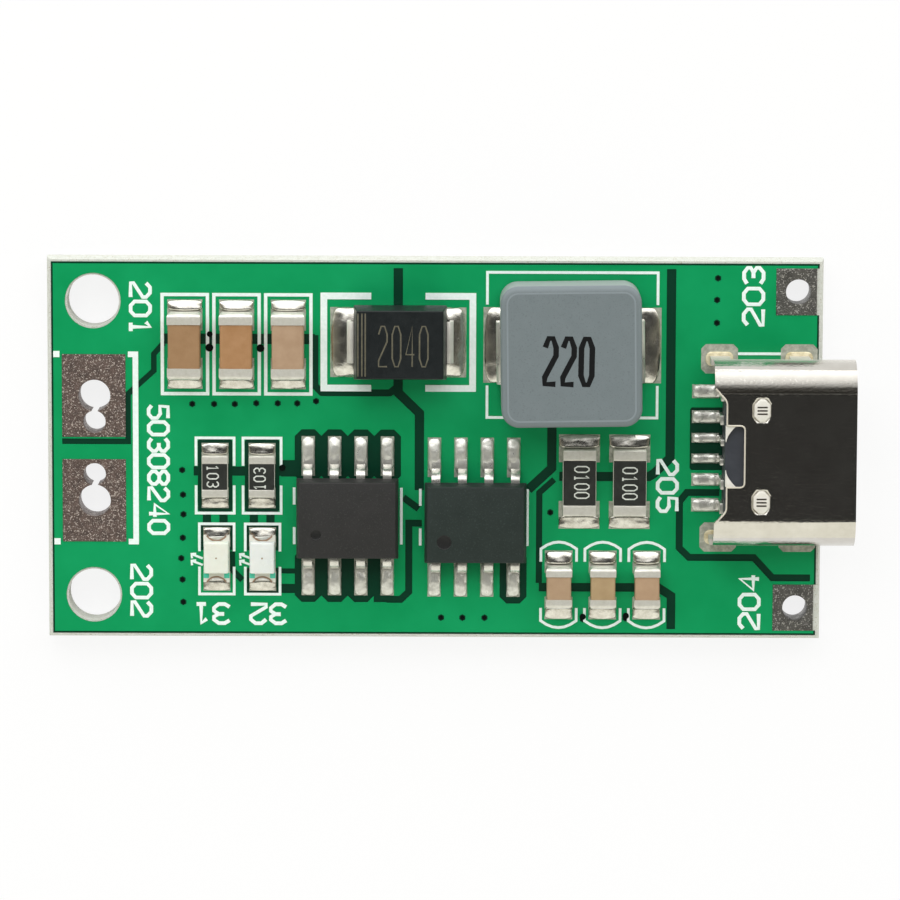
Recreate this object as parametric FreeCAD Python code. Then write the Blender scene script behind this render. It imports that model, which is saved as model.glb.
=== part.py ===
"""Lithium battery charger module: a small circuit board with a USB-C power socket.

The board lies flat with its parts on top. The origin is the centre of the board's
underside, +X runs out through the mouth of the socket, +Y is the side of the battery
capacitors and +Z is up. All sizes are in millimetres. Places on the board are written
as percentages of its half length and half width, so the layout follows the board.
"""

import FreeCAD
import Part
import math
import os

from FreeCAD import Vector

# Board
board_length = 36.8
board_width = 18.0
board_thickness = 1.6
film_thickness = 0.05
mask_margin = 0.1
score_run = 0.12
score_depth = 0.45
copper_inset = 0.09
groove_depth = 0.03
silk_thickness = 0.02
via_dimple_radius = 0.17
via_dimple_sides = 6
clearance_margin = 0.18
chip_clearance = 0.33
link_width = 0.4
octagon_cut = 0.293

# Mounting holes, at the battery end
mounting_hole_radius = 1.25
mounting_hole_inset_x = 2.0
mounting_hole_inset_y = 1.88
mounting_ring_width = 0.09

# Battery pads, each with a header hole and a wire hole that run together
battery_pad_length = 3.05
battery_pad_width = 4.0
battery_pad_inset = 0.5
battery_pad_gap = 1.08
battery_wire_hole_radius = 0.765
battery_header_hole_radius = 0.535
battery_hole_inset = 2.05
battery_hole_pitch = 1.27
pad_tinning = 0.03
plating = 0.05
plating_sides = 16

# Input pads, at the corners of the socket end
input_pad_length = 1.95
input_pad_width = 2.25
input_pad_inset = 0.12
input_pad_edge_gap = 0.22
input_hole_radius = 0.6
input_hole_inset = 1.0

# Chip capacitors: the battery row is the larger size
battery_capacitor_size = (3.2, 1.6, 1.25)
battery_capacitor_band = 0.55
battery_capacitor_pitch = 2.48
battery_capacitor_land = (4.32, 1.68, 1.5)
input_capacitor_size = (2.0, 1.25, 1.2)
input_capacitor_band = 0.45
input_capacitor_pitch = 2.12
input_capacitor_land = (3.36, 1.34, 1.1)
cap_wall = 0.04
chip_chamfer = 0.07

# Chip resistors: the sense pair is the larger size
led_resistor_size = (2.0, 1.25, 0.5)
led_resistor_band = 0.38
led_resistor_pitch = 2.26
led_resistor_land = (3.16, 1.3, 1.0)
sense_resistor_size = (3.2, 1.6, 0.62)
sense_resistor_band = 0.52
sense_resistor_pitch = 2.415
sense_resistor_land = (4.58, 1.97, 1.35)
end_plating = 0.04
overcoat_rise = 0.02
overcoat_side_gap = 0.02

# Indicator lamps
led_length = 2.0
led_width = 1.25
led_base_height = 0.32
led_lens_height = 0.48
led_lens_taper = 0.07
led_band = 0.28
led_pitch = 2.21
led_land = (3.1, 1.3, 0.95)
led_notch_radius = 0.24
led_notch_sides = 8

# Moulded power inductor
inductor_length = 6.7
inductor_width = 6.75
inductor_height = 3.0
inductor_corner_radius = 0.85
inductor_edge = 0.32
inductor_turn = 0.8
inductor_terminal_width = 3.0
inductor_terminal_foot = 1.7
inductor_terminal_exit = 1.1
inductor_sheet = 0.2
inductor_bend = 0.16
inductor_solder_height = 0.35
inductor_land = (8.53, 3.65, 2.3)
inductor_shift = (-0.1, -0.25)

# Diode in a bent-lead package
diode_length = 4.45
diode_width = 3.57
diode_height = 2.2
diode_top_taper = 0.16
diode_span = 5.1
diode_lead_width = 2.0
diode_sheet = 0.2
diode_bend = 0.16
diode_solder_height = 0.5
diode_lead_exit = 1.15
diode_foot = 1.2
diode_land = (6.52, 3.37, 1.95)
diode_shift = (0.1, 0.1)

# Eight-pin chips
chip_length = 4.9
chip_width = 3.9
chip_height = 1.45
chip_standoff = 0.12
chip_taper = 0.13
chip_pin_pitch = 1.27
chip_pin_width = 0.42
chip_pin_sheet = 0.2
chip_span = 6.0
chip_foot = 0.62
chip_pin_bend = 0.12
chip_pin_slope = 0.2
chip_land_reach = 3.87
chip_land_length = 1.92
chip_land_width = 0.64
chip_dimple_depth = 0.1
charger_dimple = (0.25, -1.5, -0.7)
converter_dimple = (0.35, -1.5, -0.85)
converter_shift = (0.075, -0.15)
lead_root = 0.15

# USB-C socket
socket_width = 8.94
socket_height = 3.16
socket_sheet = 0.3
socket_length = 6.75
socket_overhang = 1.65
socket_wing_length = 0.55
socket_wing_width = 1.25
socket_wing_slope = 0.6
socket_notch_depth = 0.85
socket_notch_width = 2.9
socket_notch_radius = 0.25
socket_floor_setback = 1.5
socket_mouth_chamfer = 0.1
socket_leg_width = 0.95
socket_leg_rise = 0.35
socket_leg_window = 0.12
socket_rear_leg = 0.35
socket_front_leg = 4.17
socket_slot_length = 1.25
socket_slot_width = 0.62
socket_ring_length = 1.76
socket_ring_width = 1.42
socket_ring_corner = 0.22
socket_dimple_length = 0.97
socket_dimple_width = 1.3
socket_dimple_depth = 0.14
socket_dimple_spacing = 4.4
socket_dimple_setback = 2.25
socket_dimple_slope = 0.12
socket_dimple_corner = 0.45
insulator_setback = 0.5
insulator_depth = 1.9
tongue_root_length = 0.6
tongue_root_height = 1.2
tongue_length = 3.55
tongue_width = 6.69
tongue_height = 0.7
tongue_corner = 0.5
midplate_height = 0.15
midplate_root = 0.5
midplate_setback = 0.45
contact_sheet = 0.15
contact_offsets = (2.75, 1.52, 0.5)
contact_widths = (0.5, 0.45, 0.3)
contact_length = 3.1
socket_land_length = 1.3
socket_land_start = 0.95
socket_land_margin = 0.08
socket_foot_start = 0.75

# Solder
solder_chip_share = 0.6
solder_hollow = 0.4
solder_pillow_height = 0.16
solder_pillow_inset = 0.09
solder_gap = 0.01

# Printed outlines
fine_line = 0.13
bracket_line = 0.32
box_line = 0.16
battery_bracket_line = 0.27
battery_bracket_gap = 0.48
battery_bracket_stub = 0.36
battery_dot_size = 0.3
battery_dot_inset = 0.24
capacitor_box_gap = 0.15
capacitor_box_margin = 0.31
led_resistor_bracket = (1.96, 3.78, 0.95)
led_bracket = (1.8, 3.55, 0.75)
diode_bracket = (7.46, 4.76, 2.6)
inductor_bracket = (8.3, 7.13, 3.9)
arch_half_width = 0.86
arch_rise = 0.34
arch_reach = 1.75
arch_arm = 0.62
arch_steps = 6
chip_bar_gap = 0.13
chip_bar_reach = 1.38
chip_bar_break = 0.55
socket_line_gap = 0.1

# Places, as percentages of the half length and half width
battery_capacitors_at = (-51.7, 56.0)
led_resistors_at = (-51.25, -14.6)
leds_at = (-51.0, -59.7)
diode_at = (-9.57, 57.4)
inductor_at = (35.8, 56.1)
charger_chip_at = (-22.7, -36.2)
converter_chip_at = (10.3, -36.7)
sense_resistors_at = (44.4, -17.2)
input_capacitors_at = (44.1, -73.1)
socket_at = 1.1

# Gaps in the copper: a width in mm and the points of its middle line
copper_gaps = (
    (0.27, ((-97.3, 3.6), (-80.1, 3.6), (-80.1, 29.1), (-73.3, 41.7), (-73.3, 50.6), (-70.7, 56.7))),
    (0.5, ((-71.2, 58.9), (-31.3, 58.9))),
    (0.34, ((-31.3, 61.1), (-31.3, 33.9), (-29.5, 30.2), (-11.7, 30.2), (-9.6, 33.9))),
    (0.45, ((-9.6, 97.0), (-9.6, 30.4), (-4.0, 19.3), (-4.0, -22.2))),
    (0.45, ((61.5, 97.0), (61.5, -4.4), (57.3, -12.8), (56.0, -14.4), (32.6, -14.4))),
    (0.45, ((30.6, 22.2), (30.6, -10.0), (24.5, -21.7))),
    (0.3, ((31.3, -16.1), (27.4, -23.3), (27.4, -72.2))),
    (0.42, ((27.4, -74.4), (58.7, -74.4), (62.1, -78.9), (62.1, -97.0))),
    (0.34, ((74.5, -22.9), (66.0, -22.9), (64.1, -27.8), (64.1, -52.8), (66.7, -58.0), (83.7, -58.0),
            (88.6, -68.9), (98.5, -68.9))),
    (0.34, ((-8.2, -26.1), (-4.1, -32.2))),
    (0.34, ((-3.3, -40.0), (-6.7, -40.0), (-6.7, -77.2), (-8.8, -81.3), (-12.5, -81.3))),
    (0.45, ((-63.0, -12.2), (-40.2, -12.2))),
    (0.8, ((-40.2, -10.6), (-35.3, -10.6))),
    (0.25, ((-40.2, -66.1), (-35.3, -66.1))),
    (0.45, ((-40.2, -75.6), (-35.3, -75.6))),
    (0.3, ((-53.0, -55.6), (-53.0, -65.6), (-50.3, -71.1))),
)
small_vias = (
    (-63.3, 23.9), (-57.6, 23.9), (-52.2, 23.9), (-46.6, 24.4), (-41.0, 24.4), (-35.9, 24.4),
    (-31.0, 25.6), (-58.9, 54.4), (-45.4, 54.4), (-66.0, -11.7), (-65.8, -25.0), (-65.7, -35.6),
    (-65.9, -48.3), (-66.3, -59.4), (-66.0, -70.9), (-65.8, -83.1), (-39.7, -10.3), (1.8, -91.1),
    (7.4, -91.1), (13.2, -91.1), (30.3, -33.9), (39.0, -91.7), (50.2, -91.1), (73.6, 92.2),
    (73.4, 80.6), (73.4, 68.3),
)

# Levels that follow from the sizes
top = board_thickness
laminate_top = board_thickness - film_thickness
half_length = board_length / 2
half_width = board_width / 2


# Helpers for outlines and simple solids
def on_board(place):
    """A place on the board in mm, from its percentages."""
    return place[0] / 100 * half_length, place[1] / 100 * half_width


def flat(z):
    """Maps outline points to the level z."""
    return lambda u, v: Vector(u, v, z)


def lengthwise(y):
    """Maps outline points to the upright plane at y: u is X and v is Z."""
    return lambda u, v: Vector(u, y, v)


def crosswise(x):
    """Maps outline points to the upright plane at x: u is Y and v is Z."""
    return lambda u, v: Vector(x, u, v)


def unit(start, end):
    """The direction from start to end, in the plane of the outline."""
    length = math.dist(start, end)
    return (end[0] - start[0]) / length, (end[1] - start[1]) / length


def closed_wire(points, place, radii=None):
    """A closed wire through the points, with each corner rounded by its own radius."""
    count = len(points)
    radii = radii or [0] * count
    arrivals = []
    departures = []
    edges = []
    for index, corner in enumerate(points):
        back = unit(corner, points[index - 1])
        ahead = unit(corner, points[(index + 1) % count])
        angle = math.acos(max(-1.0, min(1.0, back[0] * ahead[0] + back[1] * ahead[1])))
        cut = radii[index] / math.tan(angle / 2) if radii[index] else 0
        arrival = (corner[0] + back[0] * cut, corner[1] + back[1] * cut)
        departure = (corner[0] + ahead[0] * cut, corner[1] + ahead[1] * cut)
        arrivals.append(arrival)
        departures.append(departure)
        if radii[index]:
            bisector = unit((0, 0), (back[0] + ahead[0], back[1] + ahead[1]))
            reach = radii[index] / math.sin(angle / 2) - radii[index]
            middle = (corner[0] + bisector[0] * reach, corner[1] + bisector[1] * reach)
            edges.append(Part.Arc(place(*arrival), place(*middle), place(*departure)).toShape())
    for index in range(count):
        start = departures[index]
        end = arrivals[(index + 1) % count]
        if math.dist(start, end) > 1e-6:
            edges.append(Part.makeLine(place(*start), place(*end)))
    return Part.Wire(Part.__sortEdges__(edges))


def prism(points, place, push, radii=None):
    """The closed outline pushed out into a solid."""
    return Part.Face(closed_wire(points, place, radii)).extrude(push)


def rectangle(x, y, length, width):
    """The corners of a rectangle round a centre."""
    return (
        (x - length / 2, y - width / 2),
        (x + length / 2, y - width / 2),
        (x + length / 2, y + width / 2),
        (x - length / 2, y + width / 2),
    )


def block(x, y, z, length, width, height, radius=0):
    """An upright block round the centre x, y, standing on z."""
    radii = [radius] * 4 if radius else None
    return prism(rectangle(x, y, length, width), flat(z), Vector(0, 0, height), radii)


def eight_sided(x, y, z, length, width, height, cut):
    """An upright block whose four corners are cut off."""
    points = []
    for side_x, side_y in ((-1, -1), (1, -1), (1, 1), (-1, 1)):
        corner_x = x + side_x * length / 2
        corner_y = y + side_y * width / 2
        pair = [(corner_x - side_x * cut, corner_y), (corner_x, corner_y - side_y * cut)]
        points += pair if side_x * side_y < 0 else pair[::-1]
    return prism(points, flat(z), Vector(0, 0, height))


def many_sided(x, y, z, radius, height, sides):
    """An upright bar with flat sides in place of a round."""
    turns = [2 * math.pi * (step + 0.5) / sides for step in range(sides)]
    points = [(x + radius * math.cos(turn), y + radius * math.sin(turn)) for turn in turns]
    return prism(points, flat(z), Vector(0, 0, height))


def post(x, y, z, radius, height):
    """An upright round bar standing on z."""
    return Part.makeCylinder(radius, height, Vector(x, y, z))


def tapered_block(x, y, low, high, length, width, taper):
    """A block whose four sides lean in by the taper at its upper end."""
    lower = closed_wire(rectangle(x, y, length, width), flat(low))
    upper = closed_wire(rectangle(x, y, length - 2 * taper, width - 2 * taper), flat(high))
    return Part.makeLoft([lower, upper], True, True)


def moved_aside(path, distance):
    """The open path moved to its left, with mitred corners."""
    moved = []
    for index, point in enumerate(path):
        before = unit(path[index - 1], point) if index > 0 else unit(point, path[1])
        after = unit(point, path[index + 1]) if index < len(path) - 1 else before
        normal = unit((0, 0), (-before[1] - after[1], before[0] + after[0]))
        stretch = distance / (normal[1] * before[0] - normal[0] * before[1])
        moved.append((point[0] + normal[0] * stretch, point[1] + normal[1] * stretch))
    return moved


def band(path, width, z, height):
    """A flat band along an open path, seen from above."""
    left = moved_aside(path, width / 2)
    right = moved_aside(path, -width / 2)
    return prism(left + right[::-1], flat(z), Vector(0, 0, height))


def eased(path, ease):
    """The open path with each corner cut across, as a bend has it."""
    points = [path[0]]
    for index in range(1, len(path) - 1):
        corner = path[index]
        back = unit(corner, path[index - 1])
        ahead = unit(corner, path[index + 1])
        points.append((corner[0] + back[0] * ease, corner[1] + back[1] * ease))
        points.append((corner[0] + ahead[0] * ease, corner[1] + ahead[1] * ease))
    return points + [path[-1]]


def sheet(path, thickness, ease, place, push):
    """A bent sheet of even thickness: the path is its right-hand side."""
    outer = eased(path, ease) if ease else list(path)
    return prism(outer + moved_aside(outer, thickness)[::-1], place, push)


def joined(solids):
    """Solids that run into each other, made one shape."""
    return solids[0].multiFuse(solids[1:]).removeSplitter() if len(solids) > 1 else solids[0]


def row(middle, pitch, count):
    """The places of a row along X, round its middle."""
    return [(middle[0] + (index - (count - 1) / 2) * pitch, middle[1]) for index in range(count)]


# Places in mm
battery_capacitor_places = row(on_board(battery_capacitors_at), battery_capacitor_pitch, 3)
input_capacitor_places = row(on_board(input_capacitors_at), input_capacitor_pitch, 3)
led_resistor_places = row(on_board(led_resistors_at), led_resistor_pitch, 2)
sense_resistor_places = row(on_board(sense_resistors_at), sense_resistor_pitch, 2)
led_places = row(on_board(leds_at), led_pitch, 2)
diode_place = on_board(diode_at)
inductor_place = on_board(inductor_at)
charger_place = on_board(charger_chip_at)
converter_place = on_board(converter_chip_at)
socket_y = socket_at / 100 * half_width
mouth_x = half_length + socket_overhang
socket_rear = mouth_x - socket_length
socket_middle_z = top + socket_height / 2
battery_pad_x = -half_length + battery_pad_inset + battery_pad_length / 2
battery_pad_y = battery_pad_gap / 2 + battery_pad_width / 2
battery_hole_x = -half_length + battery_hole_inset
header_hole_y = battery_hole_pitch
wire_hole_y = 2 * battery_hole_pitch
input_pad_x = half_length - input_pad_inset - input_pad_length / 2
input_pad_y = half_width - input_pad_edge_gap - input_pad_width / 2
input_hole_x = half_length - input_hole_inset
mounting_hole_x = -half_length + mounting_hole_inset_x
mounting_hole_y = half_width - mounting_hole_inset_y
leg_y = socket_width / 2 - socket_sheet / 2
leg_xs = (socket_rear + socket_rear_leg, socket_rear + socket_front_leg)


# Holes that go through the board
def mounting_holes(extra=0):
    """The two mounting holes as cutting bars, wider by extra."""
    return [
        post(mounting_hole_x, side * mounting_hole_y, -1, mounting_hole_radius + extra, board_thickness + 2)
        for side in (-1, 1)
    ]


def battery_holes(side):
    """The wire hole and the header hole of one battery pad, run together."""
    wire = post(battery_hole_x, side * wire_hole_y, -1, battery_wire_hole_radius, board_thickness + 2)
    header = post(battery_hole_x, side * header_hole_y, -1, battery_header_hole_radius, board_thickness + 2)
    return wire.fuse(header)


def battery_plating(side):
    """The outer side of the plating in the two holes of a battery pad."""
    holes = ((wire_hole_y, battery_wire_hole_radius), (header_hole_y, battery_header_hole_radius))
    wire, header = [
        many_sided(battery_hole_x, side * y, 0, radius + plating, board_thickness, plating_sides)
        for y, radius in holes
    ]
    return wire.fuse(header)


def input_hole(side):
    """The wire hole of one input pad."""
    return post(input_hole_x, side * input_pad_y, -1, input_hole_radius, board_thickness + 2)


def input_plating(side):
    """The outer side of the plating in the hole of an input pad."""
    radius = input_hole_radius + plating
    return many_sided(input_hole_x, side * input_pad_y, 0, radius, board_thickness, plating_sides)


def leg_slot(x, side, low, high, extra=0):
    """A round-ended slot for one leg of the socket."""
    length = socket_slot_length + 2 * extra
    width = socket_slot_width + 2 * extra
    y = socket_y + side * leg_y
    return eight_sided(x, y, low, length, width, high - low, octagon_cut * width)


def all_leg_slots(low, high, extra=0):
    """The four slots of the socket's legs."""
    return [leg_slot(x, side, low, high, extra) for x in leg_xs for side in (-1, 1)]


# Copper lands under the surface parts
def pair_lands(place, land):
    """Two lands in line along Y: land is overall length, width and each one's length."""
    overall, width, each = land
    return [(place[0], place[1] + side * (overall - each) / 2, width, each) for side in (-1, 1)]


def pair_lands_lengthwise(place, land):
    """Two lands in line along X."""
    overall, width, each = land
    return [(place[0] + side * (overall - each) / 2, place[1], each, width) for side in (-1, 1)]


def chip_lands(place):
    """The eight lands of a chip, the +Y row first, each row from -X to +X."""
    reach = chip_land_reach - chip_land_length / 2
    lands = []
    for side in (1, -1):
        for x, y in row(place, chip_pin_pitch, 4):
            lands.append((x, y + side * reach, chip_land_width, chip_land_length))
    return lands


def socket_lands():
    """The six lands behind the socket."""
    lands = []
    x = socket_rear - socket_land_start + socket_land_length / 2
    for offset, width in zip(contact_offsets, contact_widths):
        for side in (-1, 1):
            y = socket_y + side * offset
            lands.append((x, y, socket_land_length, width + 2 * socket_land_margin))
    return lands


def surface_lands():
    """Every land for surface parts as centre x, y and size along X and Y."""
    lands = []
    for place in battery_capacitor_places:
        lands += pair_lands(place, battery_capacitor_land)
    for place in input_capacitor_places:
        lands += pair_lands(place, input_capacitor_land)
    for place in led_resistor_places:
        lands += pair_lands(place, led_resistor_land)
    for place in sense_resistor_places:
        lands += pair_lands(place, sense_resistor_land)
    for place in led_places:
        lands += pair_lands(place, led_land)
    lands += pair_lands_lengthwise(diode_place, diode_land)
    lands += pair_lands_lengthwise(inductor_place, inductor_land)
    lands += chip_lands(charger_place)
    lands += chip_lands(converter_place)
    lands += socket_lands()
    return lands


# Board pieces
def make_circuit_board():
    """Glass-fibre laminate, scored on all four sides and drilled."""
    face_length = board_length + 2 * mask_margin
    face_width = board_width + 2 * mask_margin
    waist_length = face_length + 2 * score_run
    waist_width = face_width + 2 * score_run
    lower = tapered_block(0, 0, score_depth, 0, waist_length, waist_width, score_run)
    waist = block(0, 0, score_depth, waist_length, waist_width, laminate_top - 2 * score_depth)
    shoulder = laminate_top - score_depth
    upper = tapered_block(0, 0, shoulder, laminate_top, waist_length, waist_width, score_run)
    board = joined([lower, waist, upper])
    cuts = mounting_holes() + all_leg_slots(-1, board_thickness + 1, plating)
    for side in (-1, 1):
        cuts.append(battery_plating(side))
        cuts.append(input_plating(side))
    cuts.append(block(0, 0, 0, board_length, board_width, film_thickness))
    return board.cut(cuts)


def make_battery_pad(side):
    """Tinned pad on both faces with its plated holes, like a rivet."""
    y = side * battery_pad_y
    thickness = film_thickness + pad_tinning
    upper = block(battery_pad_x, y, laminate_top, battery_pad_length, battery_pad_width, thickness)
    lower = block(battery_pad_x, y, 0, battery_pad_length, battery_pad_width, film_thickness)
    return joined([upper, lower, battery_plating(side)]).cut(battery_holes(side))


def make_input_pad(side):
    """Tinned corner pad on both faces with one plated hole."""
    y = side * input_pad_y
    thickness = film_thickness + pad_tinning
    upper = block(input_pad_x, y, laminate_top, input_pad_length, input_pad_width, thickness)
    lower = block(input_pad_x, y, 0, input_pad_length, input_pad_width, film_thickness)
    return joined([upper, lower, input_plating(side)]).cut(input_hole(side))


def slot_ring(x, y, z):
    """The outline of the land round one slot, a film thick."""
    return eight_sided(x, y, z, socket_ring_length, socket_ring_width, film_thickness, socket_ring_corner)


def make_slot_lands():
    """Plated slots for the socket's legs, with a ring on each face."""
    lands = []
    for x in leg_xs:
        for side in (-1, 1):
            y = socket_y + side * leg_y
            rings = [slot_ring(x, y, z) for z in (laminate_top, 0)]
            barrel = leg_slot(x, side, 0, board_thickness, plating)
            lands.append(joined(rings + [barrel]).cut(leg_slot(x, side, -1, board_thickness + 1)))
    return Part.makeCompound(lands)


def make_surface_lands():
    """The flat lands of the surface parts."""
    return Part.makeCompound([block(x, y, laminate_top, length, width, film_thickness)
                              for x, y, length, width in surface_lands()])


def mask_openings(low):
    """Cutting blocks for all that the solder mask leaves bare on one face."""
    cuts = mounting_holes(mounting_ring_width)
    for side in (-1, 1):
        cuts.append(block(battery_pad_x, side * battery_pad_y, low, battery_pad_length, battery_pad_width,
                          film_thickness))
        past_edge = input_pad_inset + mask_margin
        cuts.append(block(input_pad_x + past_edge / 2, side * input_pad_y, low, input_pad_length + past_edge,
                          input_pad_width, film_thickness))
    for x in leg_xs:
        for side in (-1, 1):
            cuts.append(slot_ring(x, socket_y + side * leg_y, low))
    return cuts


def copper_clearances():
    """Where the copper pour stands clear of pads: centre x, y, size along X and Y, corner cut."""
    clearances = []
    margin = clearance_margin
    for index, (x, y) in enumerate(led_resistor_places):
        overall, width, each = led_resistor_land
        clearances.append((x, y, width + 2 * margin, overall + 2 * margin, margin / 2))
        low = led_places[index][1] + led_land[0] / 2
        high = y - overall / 2
        for side in (-1, 1):
            clearances.append((x + side * link_width, (low + high) / 2, link_width, high - low, 0))
    for index, (x, y) in enumerate(led_places):
        overall, width, each = led_land
        lands = pair_lands((x, y), led_land)
        for land in lands[1:] if index == 0 else lands:
            clearances.append((land[0], land[1], width + 2 * margin, each + 2 * margin, margin / 2))
    for x, y, length, width in chip_lands(charger_place)[:-1] + chip_lands(converter_place)[-1:]:
        clearances.append((x, y, length + 2 * chip_clearance, width + 2 * chip_clearance, chip_clearance))
    x, y, length, width = chip_lands(charger_place)[-1]
    clearances.append((x - chip_clearance / 2, y, length + chip_clearance, width + 2 * chip_clearance, 0))
    outer_pins = [land for land in socket_lands() if abs(land[1] - socket_y) > contact_offsets[1] + margin]
    inner_pins = [land for land in socket_lands() if land not in outer_pins]
    low = min(land[1] for land in inner_pins) + contact_widths[1]
    high = max(land[1] for land in inner_pins) + contact_widths[1]
    x, _, length, _ = inner_pins[0]
    clearances.append((x + margin, (low + high) / 2, length + 3 * margin, high - low, margin / 2))
    return clearances


def make_solder_mask_top():
    """The upper solder mask: lower where there is no copper under it, open over every land."""
    floor = top - groove_depth
    mask = block(0, 0, laminate_top, board_length, board_width, film_thickness)
    pour_length = board_length - 2 * copper_inset
    pour_width = board_width - 2 * copper_inset
    rim = block(0, 0, floor, board_length, board_width, groove_depth)
    rim = rim.cut(block(0, 0, floor, pour_length, pour_width, groove_depth))
    grooves = [rim]
    for width, path in copper_gaps:
        grooves.append(band([on_board(point) for point in path], width, floor, groove_depth))
    for x, y, length, width, cut in copper_clearances():
        if cut:
            grooves.append(eight_sided(x, y, floor, length, width, groove_depth, cut))
        else:
            grooves.append(block(x, y, floor, length, width, groove_depth))
    dimples = [many_sided(*on_board(place), floor, via_dimple_radius, groove_depth, via_dimple_sides)
               for place in small_vias]
    openings = mask_openings(laminate_top)
    openings += [block(x, y, laminate_top, length, width, film_thickness)
                 for x, y, length, width in surface_lands()]
    return mask.cut(openings).cut(joined(grooves)).cut(dimples)


def make_solder_mask_bottom():
    """The lower solder mask, flush with the board's underside."""
    mask = block(0, 0, 0, board_length, board_width, film_thickness)
    return mask.cut(mask_openings(0))


# Printed outlines
def printed(path, line):
    """One printed line along an open path."""
    return band(path, line, top, silk_thickness)


def printed_frame(x, y, length, width, line):
    """A closed printed rectangle; length and width are to its outer side."""
    outer = block(x, y, top, length, width, silk_thickness)
    return outer.cut(block(x, y, top, length - 2 * line, width - 2 * line, silk_thickness))


def bracket_pair(x, y, length, width, gap, line, across):
    """Two facing brackets with a gap between their arms, opening along X or along Y."""
    half_x = length / 2 - line / 2
    half_y = width / 2 - line / 2
    brackets = []
    for side in (-1, 1):
        if across:
            path = [(side * gap / 2, -half_y), (side * half_x, -half_y), (side * half_x, half_y),
                    (side * gap / 2, half_y)]
        else:
            path = [(-half_x, side * gap / 2), (-half_x, side * half_y), (half_x, side * half_y),
                    (half_x, side * gap / 2)]
        brackets.append(printed([(x + u, y + v) for u, v in path], line))
    return brackets


def arched_brackets(x, y):
    """The bowed print above and below one input capacitor."""
    brackets = []
    for side in (-1, 1):
        shoulder = y + side * arch_reach
        low = shoulder - side * arch_arm
        path = [(x - arch_half_width, low)]
        for step in range(arch_steps + 1):
            across = 2 * step / arch_steps - 1
            bow = arch_rise * (1 - across ** 2)
            path.append((x + across * arch_half_width, shoulder + side * bow))
        path.append((x + arch_half_width, low))
        brackets.append(printed(path, fine_line))
    return brackets


def chip_bars(place):
    """Printed bars at the ends of a chip; the bar at the index end leaves its middle open."""
    bars = []
    for side in (-1, 1):
        x = place[0] + side * (chip_length / 2 + chip_bar_gap)
        start = chip_bar_break if side < 0 else 0
        for along in (-1, 1):
            ends = [(x, place[1] + along * reach) for reach in (start, chip_bar_reach)]
            bars.append(printed(ends, fine_line))
    return bars


def battery_bracket():
    """The printed bracket and dots round the battery pads."""
    x = battery_pad_x + battery_pad_length / 2 + battery_bracket_gap
    stub_x = x - battery_bracket_stub
    reach = battery_pad_y + battery_pad_width / 2
    bracket = printed([(stub_x, reach), (x, reach), (x, -reach), (stub_x, -reach)], battery_bracket_line)
    dot_x = -half_length + battery_dot_inset
    dots = [block(dot_x, side * reach, top, battery_dot_size, battery_dot_size, silk_thickness)
            for side in (-1, 1)]
    return [bracket] + dots


def make_silkscreen():
    """Every printed outline of the board."""
    ink = battery_bracket()
    box_width = battery_capacitor_pitch - capacitor_box_gap
    box_length = battery_capacitor_land[0] + 2 * capacitor_box_margin
    for x, y in battery_capacitor_places:
        ink.append(printed_frame(x, y, box_width, box_length, box_line))
    for place in led_resistor_places:
        ink += bracket_pair(*place, *led_resistor_bracket, fine_line, False)
    for place in led_places:
        ink += bracket_pair(*place, *led_bracket, fine_line, False)
    ink += bracket_pair(*diode_place, *diode_bracket, bracket_line, True)
    ink += bracket_pair(*inductor_place, *inductor_bracket, fine_line, False)
    ink += chip_bars(charger_place)
    ink += chip_bars(converter_place)
    for place in input_capacitor_places:
        ink += arched_brackets(*place)
    for side in (-1, 1):
        y = socket_y + side * (socket_width / 2 + socket_line_gap)
        start = leg_xs[0] + socket_ring_length / 2
        end = leg_xs[1] - socket_ring_length / 2
        ink.append(printed([(start, y), (end, y)], fine_line))
    return joined(ink)


# Chip parts, all laid along Y
def chamfered_bar(place, z, length, width, height, chamfer):
    """A bar along Y whose long edges are chamfered."""
    x, y = place
    half = width / 2
    points = (
        (x - half + chamfer, z), (x + half - chamfer, z), (x + half, z + chamfer),
        (x + half, z + height - chamfer), (x + half - chamfer, z + height),
        (x - half + chamfer, z + height), (x - half, z + height - chamfer), (x - half, z + chamfer),
    )
    return prism(points, lengthwise(y - length / 2), Vector(0, length, 0))


def make_capacitor(place, size, end_band):
    """A chip capacitor: its ceramic block and the two metal caps on its ends."""
    length, width, height = size
    core_size = (length - 2 * cap_wall, width - 2 * cap_wall, height - 2 * cap_wall)
    core = chamfered_bar(place, top + cap_wall, core_size[0], core_size[1], core_size[2], chip_chamfer)
    caps = []
    for side in (-1, 1):
        middle = (place[0], place[1] + side * (length - end_band) / 2)
        cap = chamfered_bar(middle, top, end_band, width, height, chip_chamfer + cap_wall / 2)
        caps.append(cap.cut(core))
    return core, Part.makeCompound(caps)


def make_resistor(place, size, end_band):
    """A chip resistor: ceramic base, printed overcoat and folded end plating."""
    length, width, height = size
    x, y = place
    base = block(x, y, top + end_plating, width, length - 2 * end_plating, height - 2 * end_plating)
    ends = []
    for side in (-1, 1):
        end_y = y + side * length / 2
        wrap = block(x, end_y - side * end_band / 2, top, width, end_band, height)
        ends.append(wrap.cut(base))
    coat_length = length - 2 * end_band
    coat = block(x, y, top + height - end_plating, width - 2 * overcoat_side_gap, coat_length,
                 end_plating + overcoat_rise)
    return base, coat, Part.makeCompound(ends)


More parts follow.
